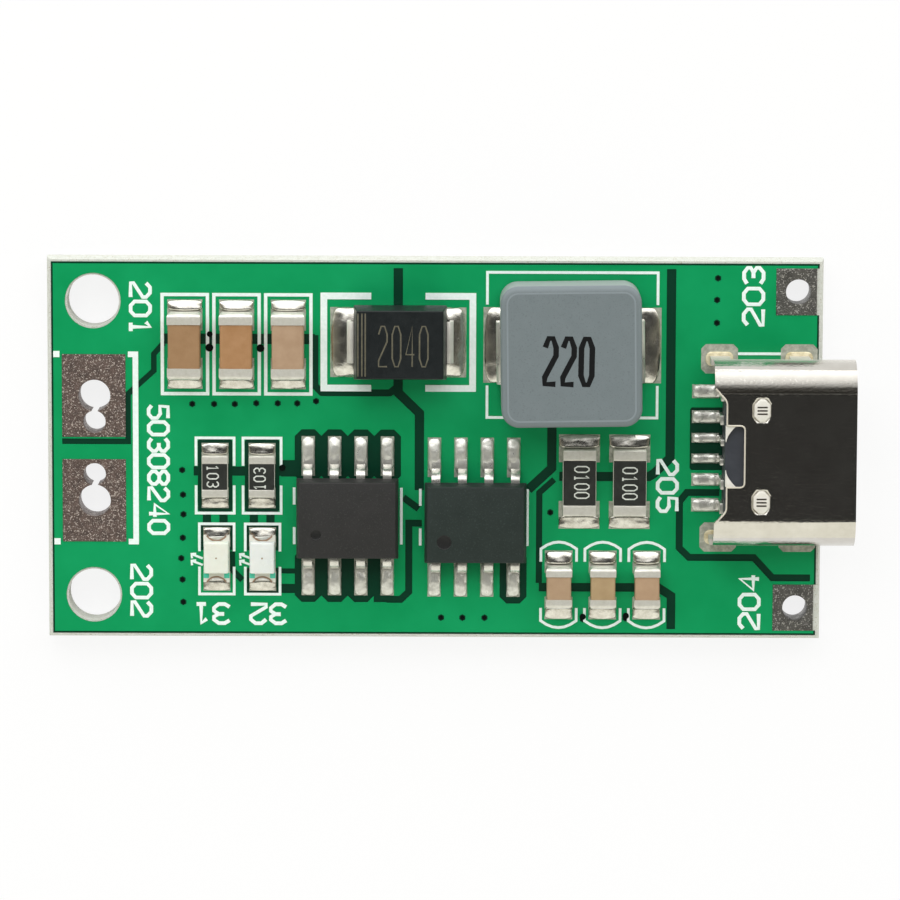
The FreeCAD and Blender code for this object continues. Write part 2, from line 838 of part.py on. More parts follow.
def make_led(place):
    """An indicator lamp: base with half-round notches, clear lens and plated ends."""
    x, y = place
    radii = (led_notch_radius, led_notch_radius - end_plating)
    notches, inner_notches = [
        [many_sided(x, y + side * led_length / 2, top - 1, radius, 3, led_notch_sides) for side in (-1, 1)]
        for radius in radii
    ]
    base = block(x, y, top + end_plating, led_width, led_length, led_base_height - 2 * end_plating)
    base = base.cut(notches)
    plated = []
    for index, side in enumerate((-1, 1)):
        wrap = block(x, y + side * (led_length - led_band) / 2, top, led_width, led_band, led_base_height)
        plated.append(wrap.cut([base, inner_notches[index]]))
    lens_low = top + led_base_height - end_plating
    lens = tapered_block(x, y, lens_low, lens_low + led_lens_height + end_plating, led_width,
                         led_length - 2 * led_band, led_lens_taper)
    return base, lens, Part.makeCompound(plated)


def end_fillet(place, face, reach, width, height):
    """Solder with a hollow slope from the end of a chip part down to the rim of its land."""
    x, y = place
    side = 1 if face > y else -1
    corner = crosswise(x - width / 2)
    foot = face + side * reach
    middle = (face + side * reach * solder_hollow, top + height * solder_hollow)
    edges = [
        Part.makeLine(corner(face, top), corner(foot, top)),
        Part.Arc(corner(foot, top), corner(*middle), corner(face, top + height)).toShape(),
        Part.makeLine(corner(face, top + height), corner(face, top)),
    ]
    return Part.Face(Part.Wire(edges)).extrude(Vector(width, 0, 0))


def chip_solder(places, size, land, share=solder_chip_share):
    """The solder at both ends of each chip part in a row."""
    fillets = []
    for place in places:
        for side in (-1, 1):
            face = place[1] + side * size[0] / 2
            reach = (land[0] - size[0]) / 2 - solder_gap
            fillets.append(end_fillet(place, face, reach, min(size[1], land[1]), size[2] * share))
    return fillets


def pillow(x, y, length, width, height):
    """Solder heaped over one land."""
    return tapered_block(x, y, top, top + height, length - 2 * solder_gap, width - 2 * solder_gap,
                         solder_pillow_inset)


# Inductor
def inductor_middle():
    """The centre of the inductor's body, which was soldered a little off its lands."""
    return inductor_place[0] + inductor_shift[0], inductor_place[1] + inductor_shift[1]


def turned(shape):
    """Turns a piece of the inductor by the angle at which it was soldered."""
    x, y = inductor_middle()
    shape.rotate(Vector(x, y, 0), Vector(0, 0, 1), inductor_turn)
    return shape


def make_inductor_core():
    """Pressed powder body with rounded corners and a bevelled top edge."""
    x, y = inductor_middle()
    low = top + inductor_sheet
    high = top + inductor_height
    body = block(x, y, low, inductor_length, inductor_width, high - low, inductor_corner_radius)
    rim = [edge for edge in body.Edges if all(abs(vertex.Z - high) < 1e-6 for vertex in edge.Vertexes)]
    return turned(body.makeChamfer(inductor_edge, rim))


def make_inductor_terminals(core):
    """Flat leads that leave the sides, run down them and fold under the body."""
    x, y = inductor_middle()
    leads = []
    for side in (-1, 1):
        face = inductor_length / 2
        outside = face + inductor_sheet
        path = [(face - lead_root, top + inductor_terminal_exit), (outside, top + inductor_terminal_exit),
                (outside, top), (outside - inductor_terminal_foot, top)]
        path = [(x + side * u, v) for u, v in path]
        path = path[::-1] if side > 0 else path
        lead = sheet(path, inductor_sheet, inductor_bend, lengthwise(y - inductor_terminal_width / 2),
                     Vector(0, inductor_terminal_width, 0))
        leads.append(turned(lead).cut(core))
    return Part.makeCompound(leads)


# Diode
def diode_middle():
    """The centre of the diode's body."""
    return diode_place[0] + diode_shift[0], diode_place[1] + diode_shift[1]


def make_diode_body():
    """Moulded body that tapers both ways from its parting line."""
    x, y = diode_middle()
    parting = top + diode_lead_exit - diode_sheet / 2
    lower = tapered_block(x, y, parting, top + diode_sheet, diode_length, diode_width, diode_top_taper / 2)
    upper = tapered_block(x, y, parting, top + diode_height, diode_length, diode_width, diode_top_taper)
    return joined([lower, upper])


def make_diode_leads(body):
    """Bent leads that fold under both ends of the body."""
    x, y = diode_middle()
    leads = []
    for side in (-1, 1):
        face = diode_length / 2
        reach = diode_span / 2
        path = [(face - lead_root, top + diode_lead_exit), (reach, top + diode_lead_exit), (reach, top),
                (reach - diode_foot, top)]
        path = [(x + side * u, v) for u, v in path]
        path = path[::-1] if side > 0 else path
        lead = sheet(path, diode_sheet, diode_bend, lengthwise(y - diode_lead_width / 2),
                     Vector(0, diode_lead_width, 0))
        leads.append(lead.cut(body))
    return Part.makeCompound(leads)


# Eight-pin chips
def make_chip_body(middle, index_dimple):
    """Moulded chip body with a round index dimple in its top."""
    x, y = middle
    dimple_radius, dimple_x, dimple_y = index_dimple
    low = top + chip_standoff
    parting = low + chip_height / 2
    lower = tapered_block(x, y, parting, low, chip_length, chip_width, chip_taper)
    upper = tapered_block(x, y, parting, low + chip_height, chip_length, chip_width, chip_taper)
    dimple = post(x + dimple_x, y + dimple_y, low + chip_height - chip_dimple_depth, dimple_radius, 1)
    return joined([lower, upper]).cut(dimple)


def make_chip_leads(middle, body):
    """Gull-wing leads along both long sides."""
    x, y = middle
    exit_z = top + chip_standoff + chip_height / 2 - chip_pin_sheet / 2
    heel = chip_span / 2 - chip_foot
    knee = heel - chip_pin_slope
    leads = []
    for pin_x, pin_y in row(middle, chip_pin_pitch, 4):
        for side in (-1, 1):
            path = [(chip_width / 2 - lead_root, exit_z), (knee, exit_z), (heel, top), (chip_span / 2, top)]
            path = [(pin_y + side * u, v) for u, v in path]
            path = path[::-1] if side < 0 else path
            lead = sheet(path, chip_pin_sheet, chip_pin_bend, crosswise(pin_x - chip_pin_width / 2),
                         Vector(chip_pin_width, 0, 0))
            leads.append(lead.cut(body))
    return Part.makeCompound(leads)


# USB-C socket
def stadium(width, height):
    """A round-ended outline across the socket: points in Y and Z with their radii."""
    half = width / 2
    low = socket_middle_z - height / 2
    high = socket_middle_z + height / 2
    left = socket_y - half
    right = socket_y + half
    points = ((left, low), (right, low), (right, high), (left, high))
    return points, [height / 2 - 0.001] * 4


def make_usb_shell():
    """Folded steel shell: a round-ended tube with legs, cut back behind its mouth."""
    points, radii = stadium(socket_width, socket_height)
    tube = prism(points, crosswise(socket_rear), Vector(socket_length, 0, 0), radii)
    inside_points, inside_radii = stadium(socket_width - 2 * socket_sheet, socket_height - 2 * socket_sheet)
    inside = prism(inside_points, crosswise(socket_rear - 1), Vector(socket_length + 2, 0, 0), inside_radii)
    flare_points, flare_radii = stadium(socket_width - 2 * socket_sheet + 2 * socket_mouth_chamfer,
                                        socket_height - 2 * socket_sheet + 2 * socket_mouth_chamfer)
    flare = Part.makeLoft([
        closed_wire(inside_points, crosswise(mouth_x - socket_mouth_chamfer), inside_radii),
        closed_wire(flare_points, crosswise(mouth_x), flare_radii),
    ], True, True)
    shell = tube.cut([inside, flare])
    cuts = [rear_cut(), floor_cut()]
    for x in leg_xs:
        for side in (-1, 1):
            cuts.append(leg_window(x, side))
    for side in (-1, 1):
        cuts.append(shell_dimple(side))
    shell = shell.cut(cuts)
    return joined([shell] + [shell_leg(x, side) for x in leg_xs for side in (-1, 1)])


def rear_cut():
    """What is taken from the top plate's rear edge: two wings stay, with a notch between them."""
    wing = socket_width / 2 - socket_wing_width
    shoulder = wing - socket_wing_slope
    step = socket_rear + socket_wing_length
    notch = step + socket_notch_depth
    notch_half = socket_notch_width / 2
    half_outline = [(socket_rear - 1, wing), (socket_rear, wing), (step, shoulder), (step, notch_half),
                    (notch, notch_half)]
    half_radii = [0, 0, socket_notch_radius, 0, socket_notch_radius]
    points = half_outline + [(u, -v) for u, v in reversed(half_outline)]
    points = [(u, socket_y + v) for u, v in points]
    return prism(points, flat(socket_middle_z), Vector(0, 0, socket_height), half_radii + half_radii[::-1])


def floor_cut():
    """What is taken from the bottom plate's rear, over the feet of the contacts."""
    width = socket_width - 2 * socket_wing_width
    length = socket_floor_setback + 1
    return block(socket_rear + socket_floor_setback - length / 2, socket_y, top - 1, length, width,
                 1 + socket_height / 2)


def leg_window(x, side):
    """The gap in the lower side wall that each leg was folded out of."""
    length = socket_leg_width + 2 * socket_leg_window
    depth = socket_height / 2
    y = socket_y + side * (socket_width / 2 - depth / 2 + 0.5)
    rise = socket_height / 2 - socket_leg_window
    return block(x, y, top - 1, length, depth + 1, rise + 1)


def shell_leg(x, side):
    """One leg, straight down from the widest line of the shell into its slot."""
    low = socket_leg_rise
    return block(x, socket_y + side * leg_y, low, socket_leg_width, socket_sheet, socket_middle_z - low)


def shell_dimple(side):
    """An eight-sided spring dimple pressed into the top plate."""
    x = socket_rear + socket_dimple_setback
    y = socket_y + side * socket_dimple_spacing / 2
    high = top + socket_height

    def ring(inset, z):
        half_u = socket_dimple_length / 2 - inset
        half_v = socket_dimple_width / 2 - inset
        cut = half_u * socket_dimple_corner
        tip = half_v * socket_dimple_corner
        points = [(-half_u, -tip), (-half_u + cut, -half_v), (half_u - cut, -half_v), (half_u, -tip),
                  (half_u, tip), (half_u - cut, half_v), (-half_u + cut, half_v), (-half_u, tip)]
        return closed_wire([(x + u, y + v) for u, v in points], flat(z))

    return Part.makeLoft([ring(socket_dimple_slope, high - socket_dimple_depth), ring(0, high)], True, True)


def tongue_block(start, end, height, radius=0):
    """One stretch of the tongue, from start to end along X."""
    length = end - start
    points = ((start, socket_y - tongue_width / 2), (end, socket_y - tongue_width / 2),
              (end, socket_y + tongue_width / 2), (start, socket_y + tongue_width / 2))
    radii = [0, radius, radius, 0] if radius else None
    return prism(points, flat(socket_middle_z - height / 2), Vector(0, 0, height), radii)


base_start = socket_rear + insulator_setback
base_end = base_start + insulator_depth
root_end = base_end + tongue_root_length
tongue_end = base_end + tongue_length


def make_contacts():
    """Six bent contacts: foot on its land, riser behind the base, blade along the tongue."""
    contacts = []
    upper = socket_middle_z + tongue_height / 2
    lower = socket_middle_z - tongue_height / 2 + contact_sheet
    blade_end = base_end + contact_length
    foot_start = socket_rear - socket_foot_start
    for index, (offset, width) in enumerate(zip(contact_offsets, contact_widths)):
        for side in (-1, 1):
            level = upper if (index + (side > 0)) % 2 else lower
            path = [(foot_start, top), (base_start, top), (base_start, level - contact_sheet),
                    (blade_end, level - contact_sheet)]
            near_side = lengthwise(socket_y + side * offset - width / 2)
            contacts.append(sheet(path, contact_sheet, 0, near_side, Vector(0, width, 0)))
    return Part.makeCompound(contacts)


def make_midplate():
    """The steel plate inside the tongue."""
    return tongue_block(base_end - midplate_root, tongue_end - midplate_setback, midplate_height)


def make_insulator(contacts, midplate):
    """Moulded base that fills the shell's rear, and the tongue with its thicker root."""
    points, radii = stadium(socket_width - 2 * socket_sheet, socket_height - 2 * socket_sheet)
    base = prism(points, crosswise(base_start), Vector(insulator_depth, 0, 0), radii)
    root = tongue_block(base_end, root_end, tongue_root_height)
    tongue = tongue_block(root_end, tongue_end, tongue_height, tongue_corner)
    return joined([base, root, tongue]).cut([contacts, midplate])


def leg_solder(shell):
    """Solder that fills each slot round its leg."""
    fills = []
    for slot in all_leg_slots(0, board_thickness):
        fills.append(slot.cut(shell))
    return fills


def build():
    """Every piece of the module by its name."""
    pieces = {}
    pieces["circuit_board"] = make_circuit_board()
    pieces["solder_mask_top"] = make_solder_mask_top()
    pieces["solder_mask_bottom"] = make_solder_mask_bottom()
    pieces["silkscreen_outlines"] = make_silkscreen()
    pieces["battery_pad_positive"] = make_battery_pad(1)
    pieces["battery_pad_negative"] = make_battery_pad(-1)
    pieces["input_pad_ground"] = make_input_pad(1)
    pieces["input_pad_positive"] = make_input_pad(-1)
    pieces["surface_lands"] = make_surface_lands()
    pieces["usb_slot_lands"] = make_slot_lands()

    capacitor_rows = (
        ("battery_capacitor", battery_capacitor_places, battery_capacitor_size, battery_capacitor_band),
        ("input_capacitor", input_capacitor_places, input_capacitor_size, input_capacitor_band),
    )
    for name, places, size, end_band in capacitor_rows:
        for number, place in enumerate(places, start=1):
            core, caps = make_capacitor(place, size, end_band)
            pieces[f"{name}_{number}_ceramic"] = core
            pieces[f"{name}_{number}_end_caps"] = caps

    resistor_rows = (
        ("led_resistor", led_resistor_places, led_resistor_size, led_resistor_band),
        ("sense_resistor", sense_resistor_places, sense_resistor_size, sense_resistor_band),
    )
    for name, places, size, end_band in resistor_rows:
        for number, place in enumerate(places, start=1):
            base, coat, ends = make_resistor(place, size, end_band)
            pieces[f"{name}_{number}_base"] = base
            pieces[f"{name}_{number}_overcoat"] = coat
            pieces[f"{name}_{number}_end_plating"] = ends

    for name, place in zip(("charging_led", "full_led"), led_places):
        base, lens, plated = make_led(place)
        pieces[f"{name}_base"] = base
        pieces[f"{name}_lens"] = lens
        pieces[f"{name}_end_plating"] = plated

    core = make_inductor_core()
    terminals = make_inductor_terminals(core)
    pieces["inductor_core"] = core
    pieces["inductor_terminals"] = terminals

    diode = make_diode_body()
    diode_leads = make_diode_leads(diode)
    pieces["diode_body"] = diode
    pieces["diode_leads"] = diode_leads

    converter_middle = (converter_place[0] + converter_shift[0], converter_place[1] + converter_shift[1])
    chips = (
        ("charger_chip", charger_place, charger_place, charger_dimple),
        ("converter_chip", converter_place, converter_middle, converter_dimple),
    )
    chip_solders = []
    for name, land_middle, middle, index_dimple in chips:
        body = make_chip_body(middle, index_dimple)
        leads = make_chip_leads(middle, body)
        pieces[f"{name}_body"] = body
        pieces[f"{name}_leads"] = leads
        for land in chip_lands(land_middle):
            chip_solders.append(pillow(*land, solder_pillow_height).cut(leads))

    contacts = make_contacts()
    midplate = make_midplate()
    shell = make_usb_shell()
    pieces["usb_shell"] = shell
    pieces["usb_insulator"] = make_insulator(contacts, midplate)
    pieces["usb_midplate"] = midplate
    pieces["usb_contacts"] = contacts

    capacitor_fillets = chip_solder(battery_capacitor_places, battery_capacitor_size, battery_capacitor_land)
    capacitor_fillets += chip_solder(input_capacitor_places, input_capacitor_size, input_capacitor_land)
    resistor_fillets = chip_solder(led_resistor_places, led_resistor_size, led_resistor_land)
    resistor_fillets += chip_solder(sense_resistor_places, sense_resistor_size, sense_resistor_land)
    led_fillets = chip_solder(led_places, (led_length, led_width, led_base_height), led_land)
    diode_pillows = [pillow(*land, diode_solder_height).cut([diode, diode_leads])
                     for land in pair_lands_lengthwise(diode_place, diode_land)]
    inductor_pillows = [pillow(*land, inductor_solder_height).cut([core, terminals])
                        for land in pair_lands_lengthwise(inductor_place, inductor_land)]
    socket_pillows = [pillow(*land, solder_pillow_height).cut([contacts, shell]) for land in socket_lands()]
    pieces["capacitor_solder"] = Part.makeCompound(capacitor_fillets)
    pieces["resistor_solder"] = Part.makeCompound(resistor_fillets)
    pieces["led_solder"] = Part.makeCompound(led_fillets)
    pieces["diode_solder"] = Part.makeCompound(diode_pillows)
    pieces["inductor_solder"] = Part.makeCompound(inductor_pillows)
    pieces["chip_solder"] = Part.makeCompound(chip_solders)
    pieces["usb_solder"] = Part.makeCompound(leg_solder(shell) + socket_pillows)
    return pieces


os.makedirs("parts", exist_ok=True)
for piece_name, piece in build().items():
    piece.exportStep(f"parts/{piece_name}.step")
    print(piece_name, "solids", len(piece.Solids), "volume", round(piece.Volume, 4), "valid", piece.isValid())
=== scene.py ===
"""Looks of a small lithium battery charger board with a round-ended power socket.

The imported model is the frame: every piece here takes its place and size from the CAD
node that it stands for. Blocks, sheets and mounds are modelled on the spot, rounded and
given their finishes. Lengths are written in millimetres and turned to metres by MM.
"""

import logging
import math
from contextlib import contextmanager
from dataclasses import dataclass, field, replace
from enum import Enum
from typing import Any, Callable, Iterable, Iterator, Optional, Sequence

import bmesh
import bpy
from mathutils import Matrix, Vector


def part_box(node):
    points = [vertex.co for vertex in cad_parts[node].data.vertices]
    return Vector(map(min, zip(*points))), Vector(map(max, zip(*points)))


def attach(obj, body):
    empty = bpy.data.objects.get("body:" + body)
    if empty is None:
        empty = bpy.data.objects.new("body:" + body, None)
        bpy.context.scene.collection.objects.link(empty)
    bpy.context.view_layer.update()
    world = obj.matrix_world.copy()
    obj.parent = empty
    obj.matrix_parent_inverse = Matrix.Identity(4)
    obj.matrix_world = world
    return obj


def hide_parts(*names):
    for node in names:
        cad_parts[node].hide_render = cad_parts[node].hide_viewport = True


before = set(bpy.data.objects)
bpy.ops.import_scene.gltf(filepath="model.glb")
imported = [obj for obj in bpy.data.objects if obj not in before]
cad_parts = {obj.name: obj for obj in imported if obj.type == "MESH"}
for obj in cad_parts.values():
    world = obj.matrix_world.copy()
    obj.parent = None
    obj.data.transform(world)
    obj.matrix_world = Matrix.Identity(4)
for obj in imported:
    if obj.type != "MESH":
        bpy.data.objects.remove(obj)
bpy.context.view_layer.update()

MM = 0.001
BODY = "root"
X, Y, Z = range(3)

# Places nearer than NEAR count as one, and corners nearer than MERGE are joined. Faces
# that meet at less than FLAT degrees are one, and a direction runs along an axis when its
# share on it is over MOSTLY. Ink starts INK_SINK under its surface, and a thin mark
# reaches FILM over and under its own.
NEAR = 0.004
MERGE = 0.001
FLAT = 0.5
MOSTLY = 0.9
INK_SINK = 0.003
FILM = 0.004

log = logging.getLogger("charger_board")

Shape = bpy.types.Object
Wire = bpy.types.NodeSocket
Colour = tuple[float, float, float]
Choice = Callable[[Vector, Vector], bool]


class Pick(Enum):
    """What an edit selects: faces, edges or corners."""

    FACE = "FACE"
    EDGE = "EDGE"
    CORNER = "VERT"


class Turn(Enum):
    """How a line of digits lies on the board, as a turn about the upright axis."""

    LEVEL = 0.0
    DOWNWARD = -90.0
    UPWARD = 90.0
    OVERHEAD = 180.0


def srgb(red: int, green: int, blue: int) -> Colour:
    """Turns a colour of 0 to 255 a channel into the linear values that shaders use."""
    linear = []
    for channel in (red, green, blue):
        value = channel / 255
        linear.append(value / 12.92 if value <= 0.04045 else ((value + 0.055) / 1.055) ** 2.4)
    return linear[0], linear[1], linear[2]


@dataclass(frozen=True)
class Extent:
    """A box in millimetres, between its lowest and highest corners."""

    low: Vector
    high: Vector

    @property
    def middle(self) -> Vector:
        """The centre of the box."""
        return (self.low + self.high) / 2

    @property
    def size(self) -> Vector:
        """The box's size along X, Y and Z."""
        return self.high - self.low

    def end(self, axis: int, side: int) -> float:
        """Gives where the box ends along an axis: at its high end for 1, at its low end for -1."""
        return (self.high if side > 0 else self.low)[axis]


def node_extent(node: str) -> Extent:
    """Reads the box of a CAD node in millimetres.

    Args:
        node: The name of the CAD node.

    Returns:
        The node's box.
    """
    low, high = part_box(node)
    return Extent(low / MM, high / MM)


def corners_extent(corners: Iterable[Vector]) -> Extent:
    """Finds the box round some corners.

    Args:
        corners: The corners in metres.

    Returns:
        The box round them in millimetres.
    """
    places = [tuple(corner / MM) for corner in corners]
    return Extent(Vector(map(min, zip(*places))), Vector(map(max, zip(*places))))


def linked_groups(members: Iterable[Any], neighbours: Callable[[Any], Iterable[Any]]) -> list[list[Any]]:
    """Sorts things into groups that hang together.

    Args:
        members: The things to sort.
        neighbours: Gives what a thing is linked to.

    Returns:
        The groups, in the order of their first members.
    """
    waiting = dict.fromkeys(members)
    groups = []
    while waiting:
        first = next(iter(waiting))
        del waiting[first]
        group = [first]
        for member in group:
            for other in neighbours(member):
                if other in waiting:
                    del waiting[other]
                    group.append(other)
        groups.append(group)
    return groups


@contextmanager
def merged_shape(node: str) -> Iterator[bmesh.types.BMesh]:
    """Opens a copy of a CAD node's mesh whose loose triangles are joined.

    Args:
        node: The name of the CAD node.

    Returns:
        A context that gives the mesh.
    """
    shape = bmesh.new()
    shape.from_mesh(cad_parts[node].data)
    bmesh.ops.remove_doubles(shape, verts=shape.verts, dist=MERGE * MM)
    yield shape
    shape.free()


def in_order(boxes: Iterable[Extent]) -> list[Extent]:
    """Sorts boxes along X, and those at one X along Y."""
    return sorted(boxes, key=lambda box: (round(box.low.x, 3), box.low.y))


def node_solids(node: str) -> list[Extent]:
    """Finds the box of each separate solid of a CAD node.

    Args:
        node: The name of the CAD node.

    Returns:
        The boxes in order.
    """
    with merged_shape(node) as shape:
        solids = linked_groups(
            shape.verts, lambda corner: [edge.other_vert(corner) for edge in corner.link_edges])
        return in_order(corners_extent(corner.co for corner in solid) for solid in solids)


def level_patches(node: str, level: float) -> list[Extent]:
    """Finds the box of each separate flat patch of a CAD node at one height.

    Args:
        node: The name of the CAD node.
        level: The height in millimetres.

    Returns:
        The boxes in order.
    """
    with merged_shape(node) as shape:
        flat = [face for face in shape.faces
                if face.normal.z > MOSTLY and abs(face.calc_center_median().z / MM - level) < NEAR]
        patches = linked_groups(
            flat, lambda face: [other for edge in face.edges for other in edge.link_faces])
        return in_order(
            corners_extent(corner.co for face in patch for corner in face.verts) for patch in patches)


def everywhere(centre: Vector, normal: Vector) -> bool:
    """Chooses all of a piece."""
    return True


def facing(axis: int, side: int = 1) -> Choice:
    """Chooses faces that look along an axis, forwards for 1 and backwards for -1."""
    return lambda centre, normal: normal[axis] * side > MOSTLY


def running(axis: int) -> Choice:
    """Chooses edges that run along an axis."""
    return lambda centre, along: abs(along[axis]) > MOSTLY


def from_height(level: float) -> Choice:
    """Chooses what lies at a height in millimetres or over it."""
    return lambda centre, direction: centre.z > level - NEAR


def rounded_path(corners: Sequence[tuple[Vector, float]], steps: int = 5) -> list[Vector]:
    """Rounds the corners of a path.

    Args:
        corners: Each corner's place and the reach of its rounding, in millimetres.
        steps: How many stretches make one rounding.

    Returns:
        The path's points.
    """
    points = [corners[0][0]]
    for index in range(1, len(corners) - 1):
        corner, reach = corners[index]
        start = corner + (corners[index - 1][0] - corner).normalized() * reach
        end = corner + (corners[index + 1][0] - corner).normalized() * reach
        for step in range(steps + 1):
            share = step / steps
            points.append(start.lerp(corner, share).lerp(corner.lerp(end, share), share))
    return points + [corners[-1][0]]


class Bench:
    """The modelling moves that all sub-assemblies share."""

    @staticmethod
    def hold(piece: Shape) -> None:
        """Makes a piece the only selected and active one."""
        bpy.ops.object.select_all(action="DESELECT")
        piece.select_set(True)
        bpy.context.view_layer.objects.active = piece

    @staticmethod
    def block(name: str, low: Vector, high: Vector) -> Shape:
        """Adds a block between two corners.

        Args:
            name: The new piece's name.
            low: The lowest corner in millimetres.
            high: The highest corner in millimetres.

        Returns:
            The block, with its place in its mesh.
        """
        bpy.ops.object.select_all(action="DESELECT")
        bpy.ops.mesh.primitive_cube_add(size=1, location=(low + high) / 2 * MM)
        piece = bpy.context.active_object
        piece.name = name
        piece.scale = (high - low) * MM
        bpy.ops.object.transform_apply(location=True, rotation=True, scale=True)
        return piece

    @staticmethod
    def cylinder(name: str, middle: Vector, radius: float, height: float, sides: int) -> Shape:
        """Adds an upright cylinder.

        Args:
            name: The new piece's name.
            middle: Its centre in millimetres.
            radius: Its radius in millimetres.
            height: Its height in millimetres.
            sides: How many faces go round it.

        Returns:
            The cylinder, with its place in its mesh.
        """
        bpy.ops.object.select_all(action="DESELECT")
        bpy.ops.mesh.primitive_cylinder_add(vertices=sides, radius=radius * MM, depth=height * MM,
                                            location=middle * MM)
        piece = bpy.context.active_object
        piece.name = name
        bpy.ops.object.transform_apply(location=True, rotation=True, scale=True)
        return piece

    @staticmethod
    @contextmanager
    def editing(piece: Shape, pick: Pick, chosen: Choice) -> Iterator[None]:
        """Opens a piece in edit mode with a part of it selected.

        Args:
            piece: The piece to work on.
            pick: Whether faces, edges or corners are selected.
            chosen: Says of a centre in millimetres and a normal or direction if it is taken.

        Returns:
            A context in which edit operators act on the selection.
        """
        Bench.hold(piece)
        bpy.ops.object.mode_set(mode="EDIT")
        bpy.ops.mesh.select_mode(type=pick.value)
        bpy.ops.mesh.select_all(action="DESELECT")
        shape = bmesh.from_edit_mesh(piece.data)
        if pick is Pick.FACE:
            for face in shape.faces:
                face.select_set(chosen(face.calc_center_median() / MM, face.normal))
        elif pick is Pick.EDGE:
            for edge in shape.edges:
                first, second = (corner.co for corner in edge.verts)
                edge.select_set(chosen((first + second) / 2 / MM, (second - first).normalized()))
        else:
            for corner in shape.verts:
                corner.select_set(chosen(corner.co / MM, corner.normal))
        bmesh.update_edit_mesh(piece.data)
        yield
        bpy.ops.object.mode_set(mode="OBJECT")

    @staticmethod
    def shift(x: float, y: float, z: float) -> None:
        """Moves the edit selection by millimetres."""
        bpy.ops.transform.translate(value=(x * MM, y * MM, z * MM))

    @staticmethod
    def pull(x: float, y: float, z: float) -> None:
        """Extrudes the edit selection by millimetres."""
        bpy.ops.mesh.extrude_region_move(TRANSFORM_OT_translate={"value": (x * MM, y * MM, z * MM)})

    @staticmethod
    def spread(x: float, y: float, z: float, middle: Vector) -> None:
        """Scales the edit selection about a point in millimetres."""
        bpy.ops.transform.resize(value=(x, y, z), center_override=middle * MM)

    @staticmethod
    def soften(piece: Shape, width: float, segments: int = 2, angle: float = 30) -> None:
        """Rounds every edge of a piece that is sharper than an angle, and shades it smooth.

        Args:
            piece: The piece to round.
            width: The width of the rounding in millimetres.
            segments: How many faces go round each edge.
            angle: The sharpness in degrees from which an edge is rounded.
        """
        Bench.modify(piece, "BEVEL", width=width * MM, segments=segments, limit_method="ANGLE",
                     angle_limit=math.radians(angle), loop_slide=False)
        Bench.smooth(piece)
        Bench.modify(piece, "WEIGHTED_NORMAL", keep_sharp=True)

    @staticmethod
    def smooth(piece: Shape, angle: float = 40) -> None:
        """Shades a piece smooth, apart from edges sharper than an angle in degrees."""
        Bench.hold(piece)
        bpy.ops.object.shade_smooth_by_angle(angle=math.radians(angle))

    @staticmethod
    def modify(piece: Shape, kind: str, **settings: object) -> None:
        """Adds a modifier with its settings and applies it."""
        Bench.hold(piece)
        modifier = piece.modifiers.new(kind.lower(), kind)
        for setting, value in settings.items():
            setattr(modifier, setting, value)
        bpy.ops.object.modifier_apply(modifier=modifier.name)

    @staticmethod
    def wobble(piece: Shape, size: float, depth: float) -> None:
        """Makes a piece's surface uneven, as cooled metal is.

        Args:
            piece: A piece with enough faces to bend.
            size: The size of the waves in millimetres.
            depth: How far they reach in millimetres.
        """
        waves = bpy.data.textures.new(f"{piece.name}_waves", "CLOUDS")
        waves.noise_scale = size * MM
        waves.noise_depth = 1
        Bench.modify(piece, "DISPLACE", texture=waves, texture_coords="GLOBAL", strength=depth * MM,
                     mid_level=0.5)

    @staticmethod
    def strokes(name: str, paths: Sequence[Sequence[Vector]], width: float, rise: float) -> Shape:
        """Makes flat raised lines along paths on the ground; a path that ends at its start is closed.

        Args:
            name: The piece's name.
            paths: The points of each line in millimetres.
            width: The lines' width in millimetres.
            rise: How far the lines' top stands over the ground.

        Returns:
            The lines as one mesh.
        """
        line = bpy.data.curves.new(name, "CURVE")
        line.dimensions = "3D"
        line.bevel_depth = width / 2
        line.bevel_resolution = 2
        line.use_fill_caps = True
        for path in paths:
            spline = line.splines.new("POLY")
            spline.use_cyclic_u = path[0] == path[-1]
            points = path[:-1] if spline.use_cyclic_u else path
            spline.points.add(len(points) - 1)
            for target, place in zip(spline.points, points):
                target.co = (place.x, place.y, 0, 1)
        curve = bpy.data.objects.new(name, line)
        bpy.context.scene.collection.objects.link(curve)
        Bench.hold(curve)
        bpy.ops.object.convert(target="MESH")
        piece = bpy.context.active_object
        piece.data.transform(Matrix.Diagonal((MM, MM, MM * rise * 2 / width, 1)))
        Bench.smooth(piece, angle=60)
        return piece

    @staticmethod
    def carve(piece: Shape, tool: Shape) -> None:
        """Cuts a tool's shape out of a piece and removes the tool."""
        Bench.modify(piece, "BOOLEAN", object=tool, operation="DIFFERENCE", solver="EXACT")
        bpy.data.objects.remove(tool)

    @staticmethod
    def copy(piece: Shape, name: str, change: Matrix) -> Shape:
        """Copies a piece with its own mesh and changes the copy's mesh.

        Args:
            piece: The piece to copy.
            name: The copy's name.
            change: How the copy's mesh is sized and moved, in metres.

        Returns:
            The copy.
        """
        twin = piece.copy()
        twin.data = piece.data.copy()
        twin.name = name
        bpy.context.scene.collection.objects.link(twin)
        twin.data.transform(change)
        return twin

    @staticmethod
    def join(pieces: Sequence[Shape], name: str) -> Shape:
        """Joins pieces into one.

        Args:
            pieces: The pieces, which are used up.
            name: The joined piece's name.

        Returns:
            The joined piece.
        """
        Bench.hold(pieces[0])
        for piece in pieces:
            piece.select_set(True)
        if len(pieces) > 1:
            bpy.ops.object.join()
        joined = bpy.context.view_layer.objects.active
        joined.name = name
        return joined

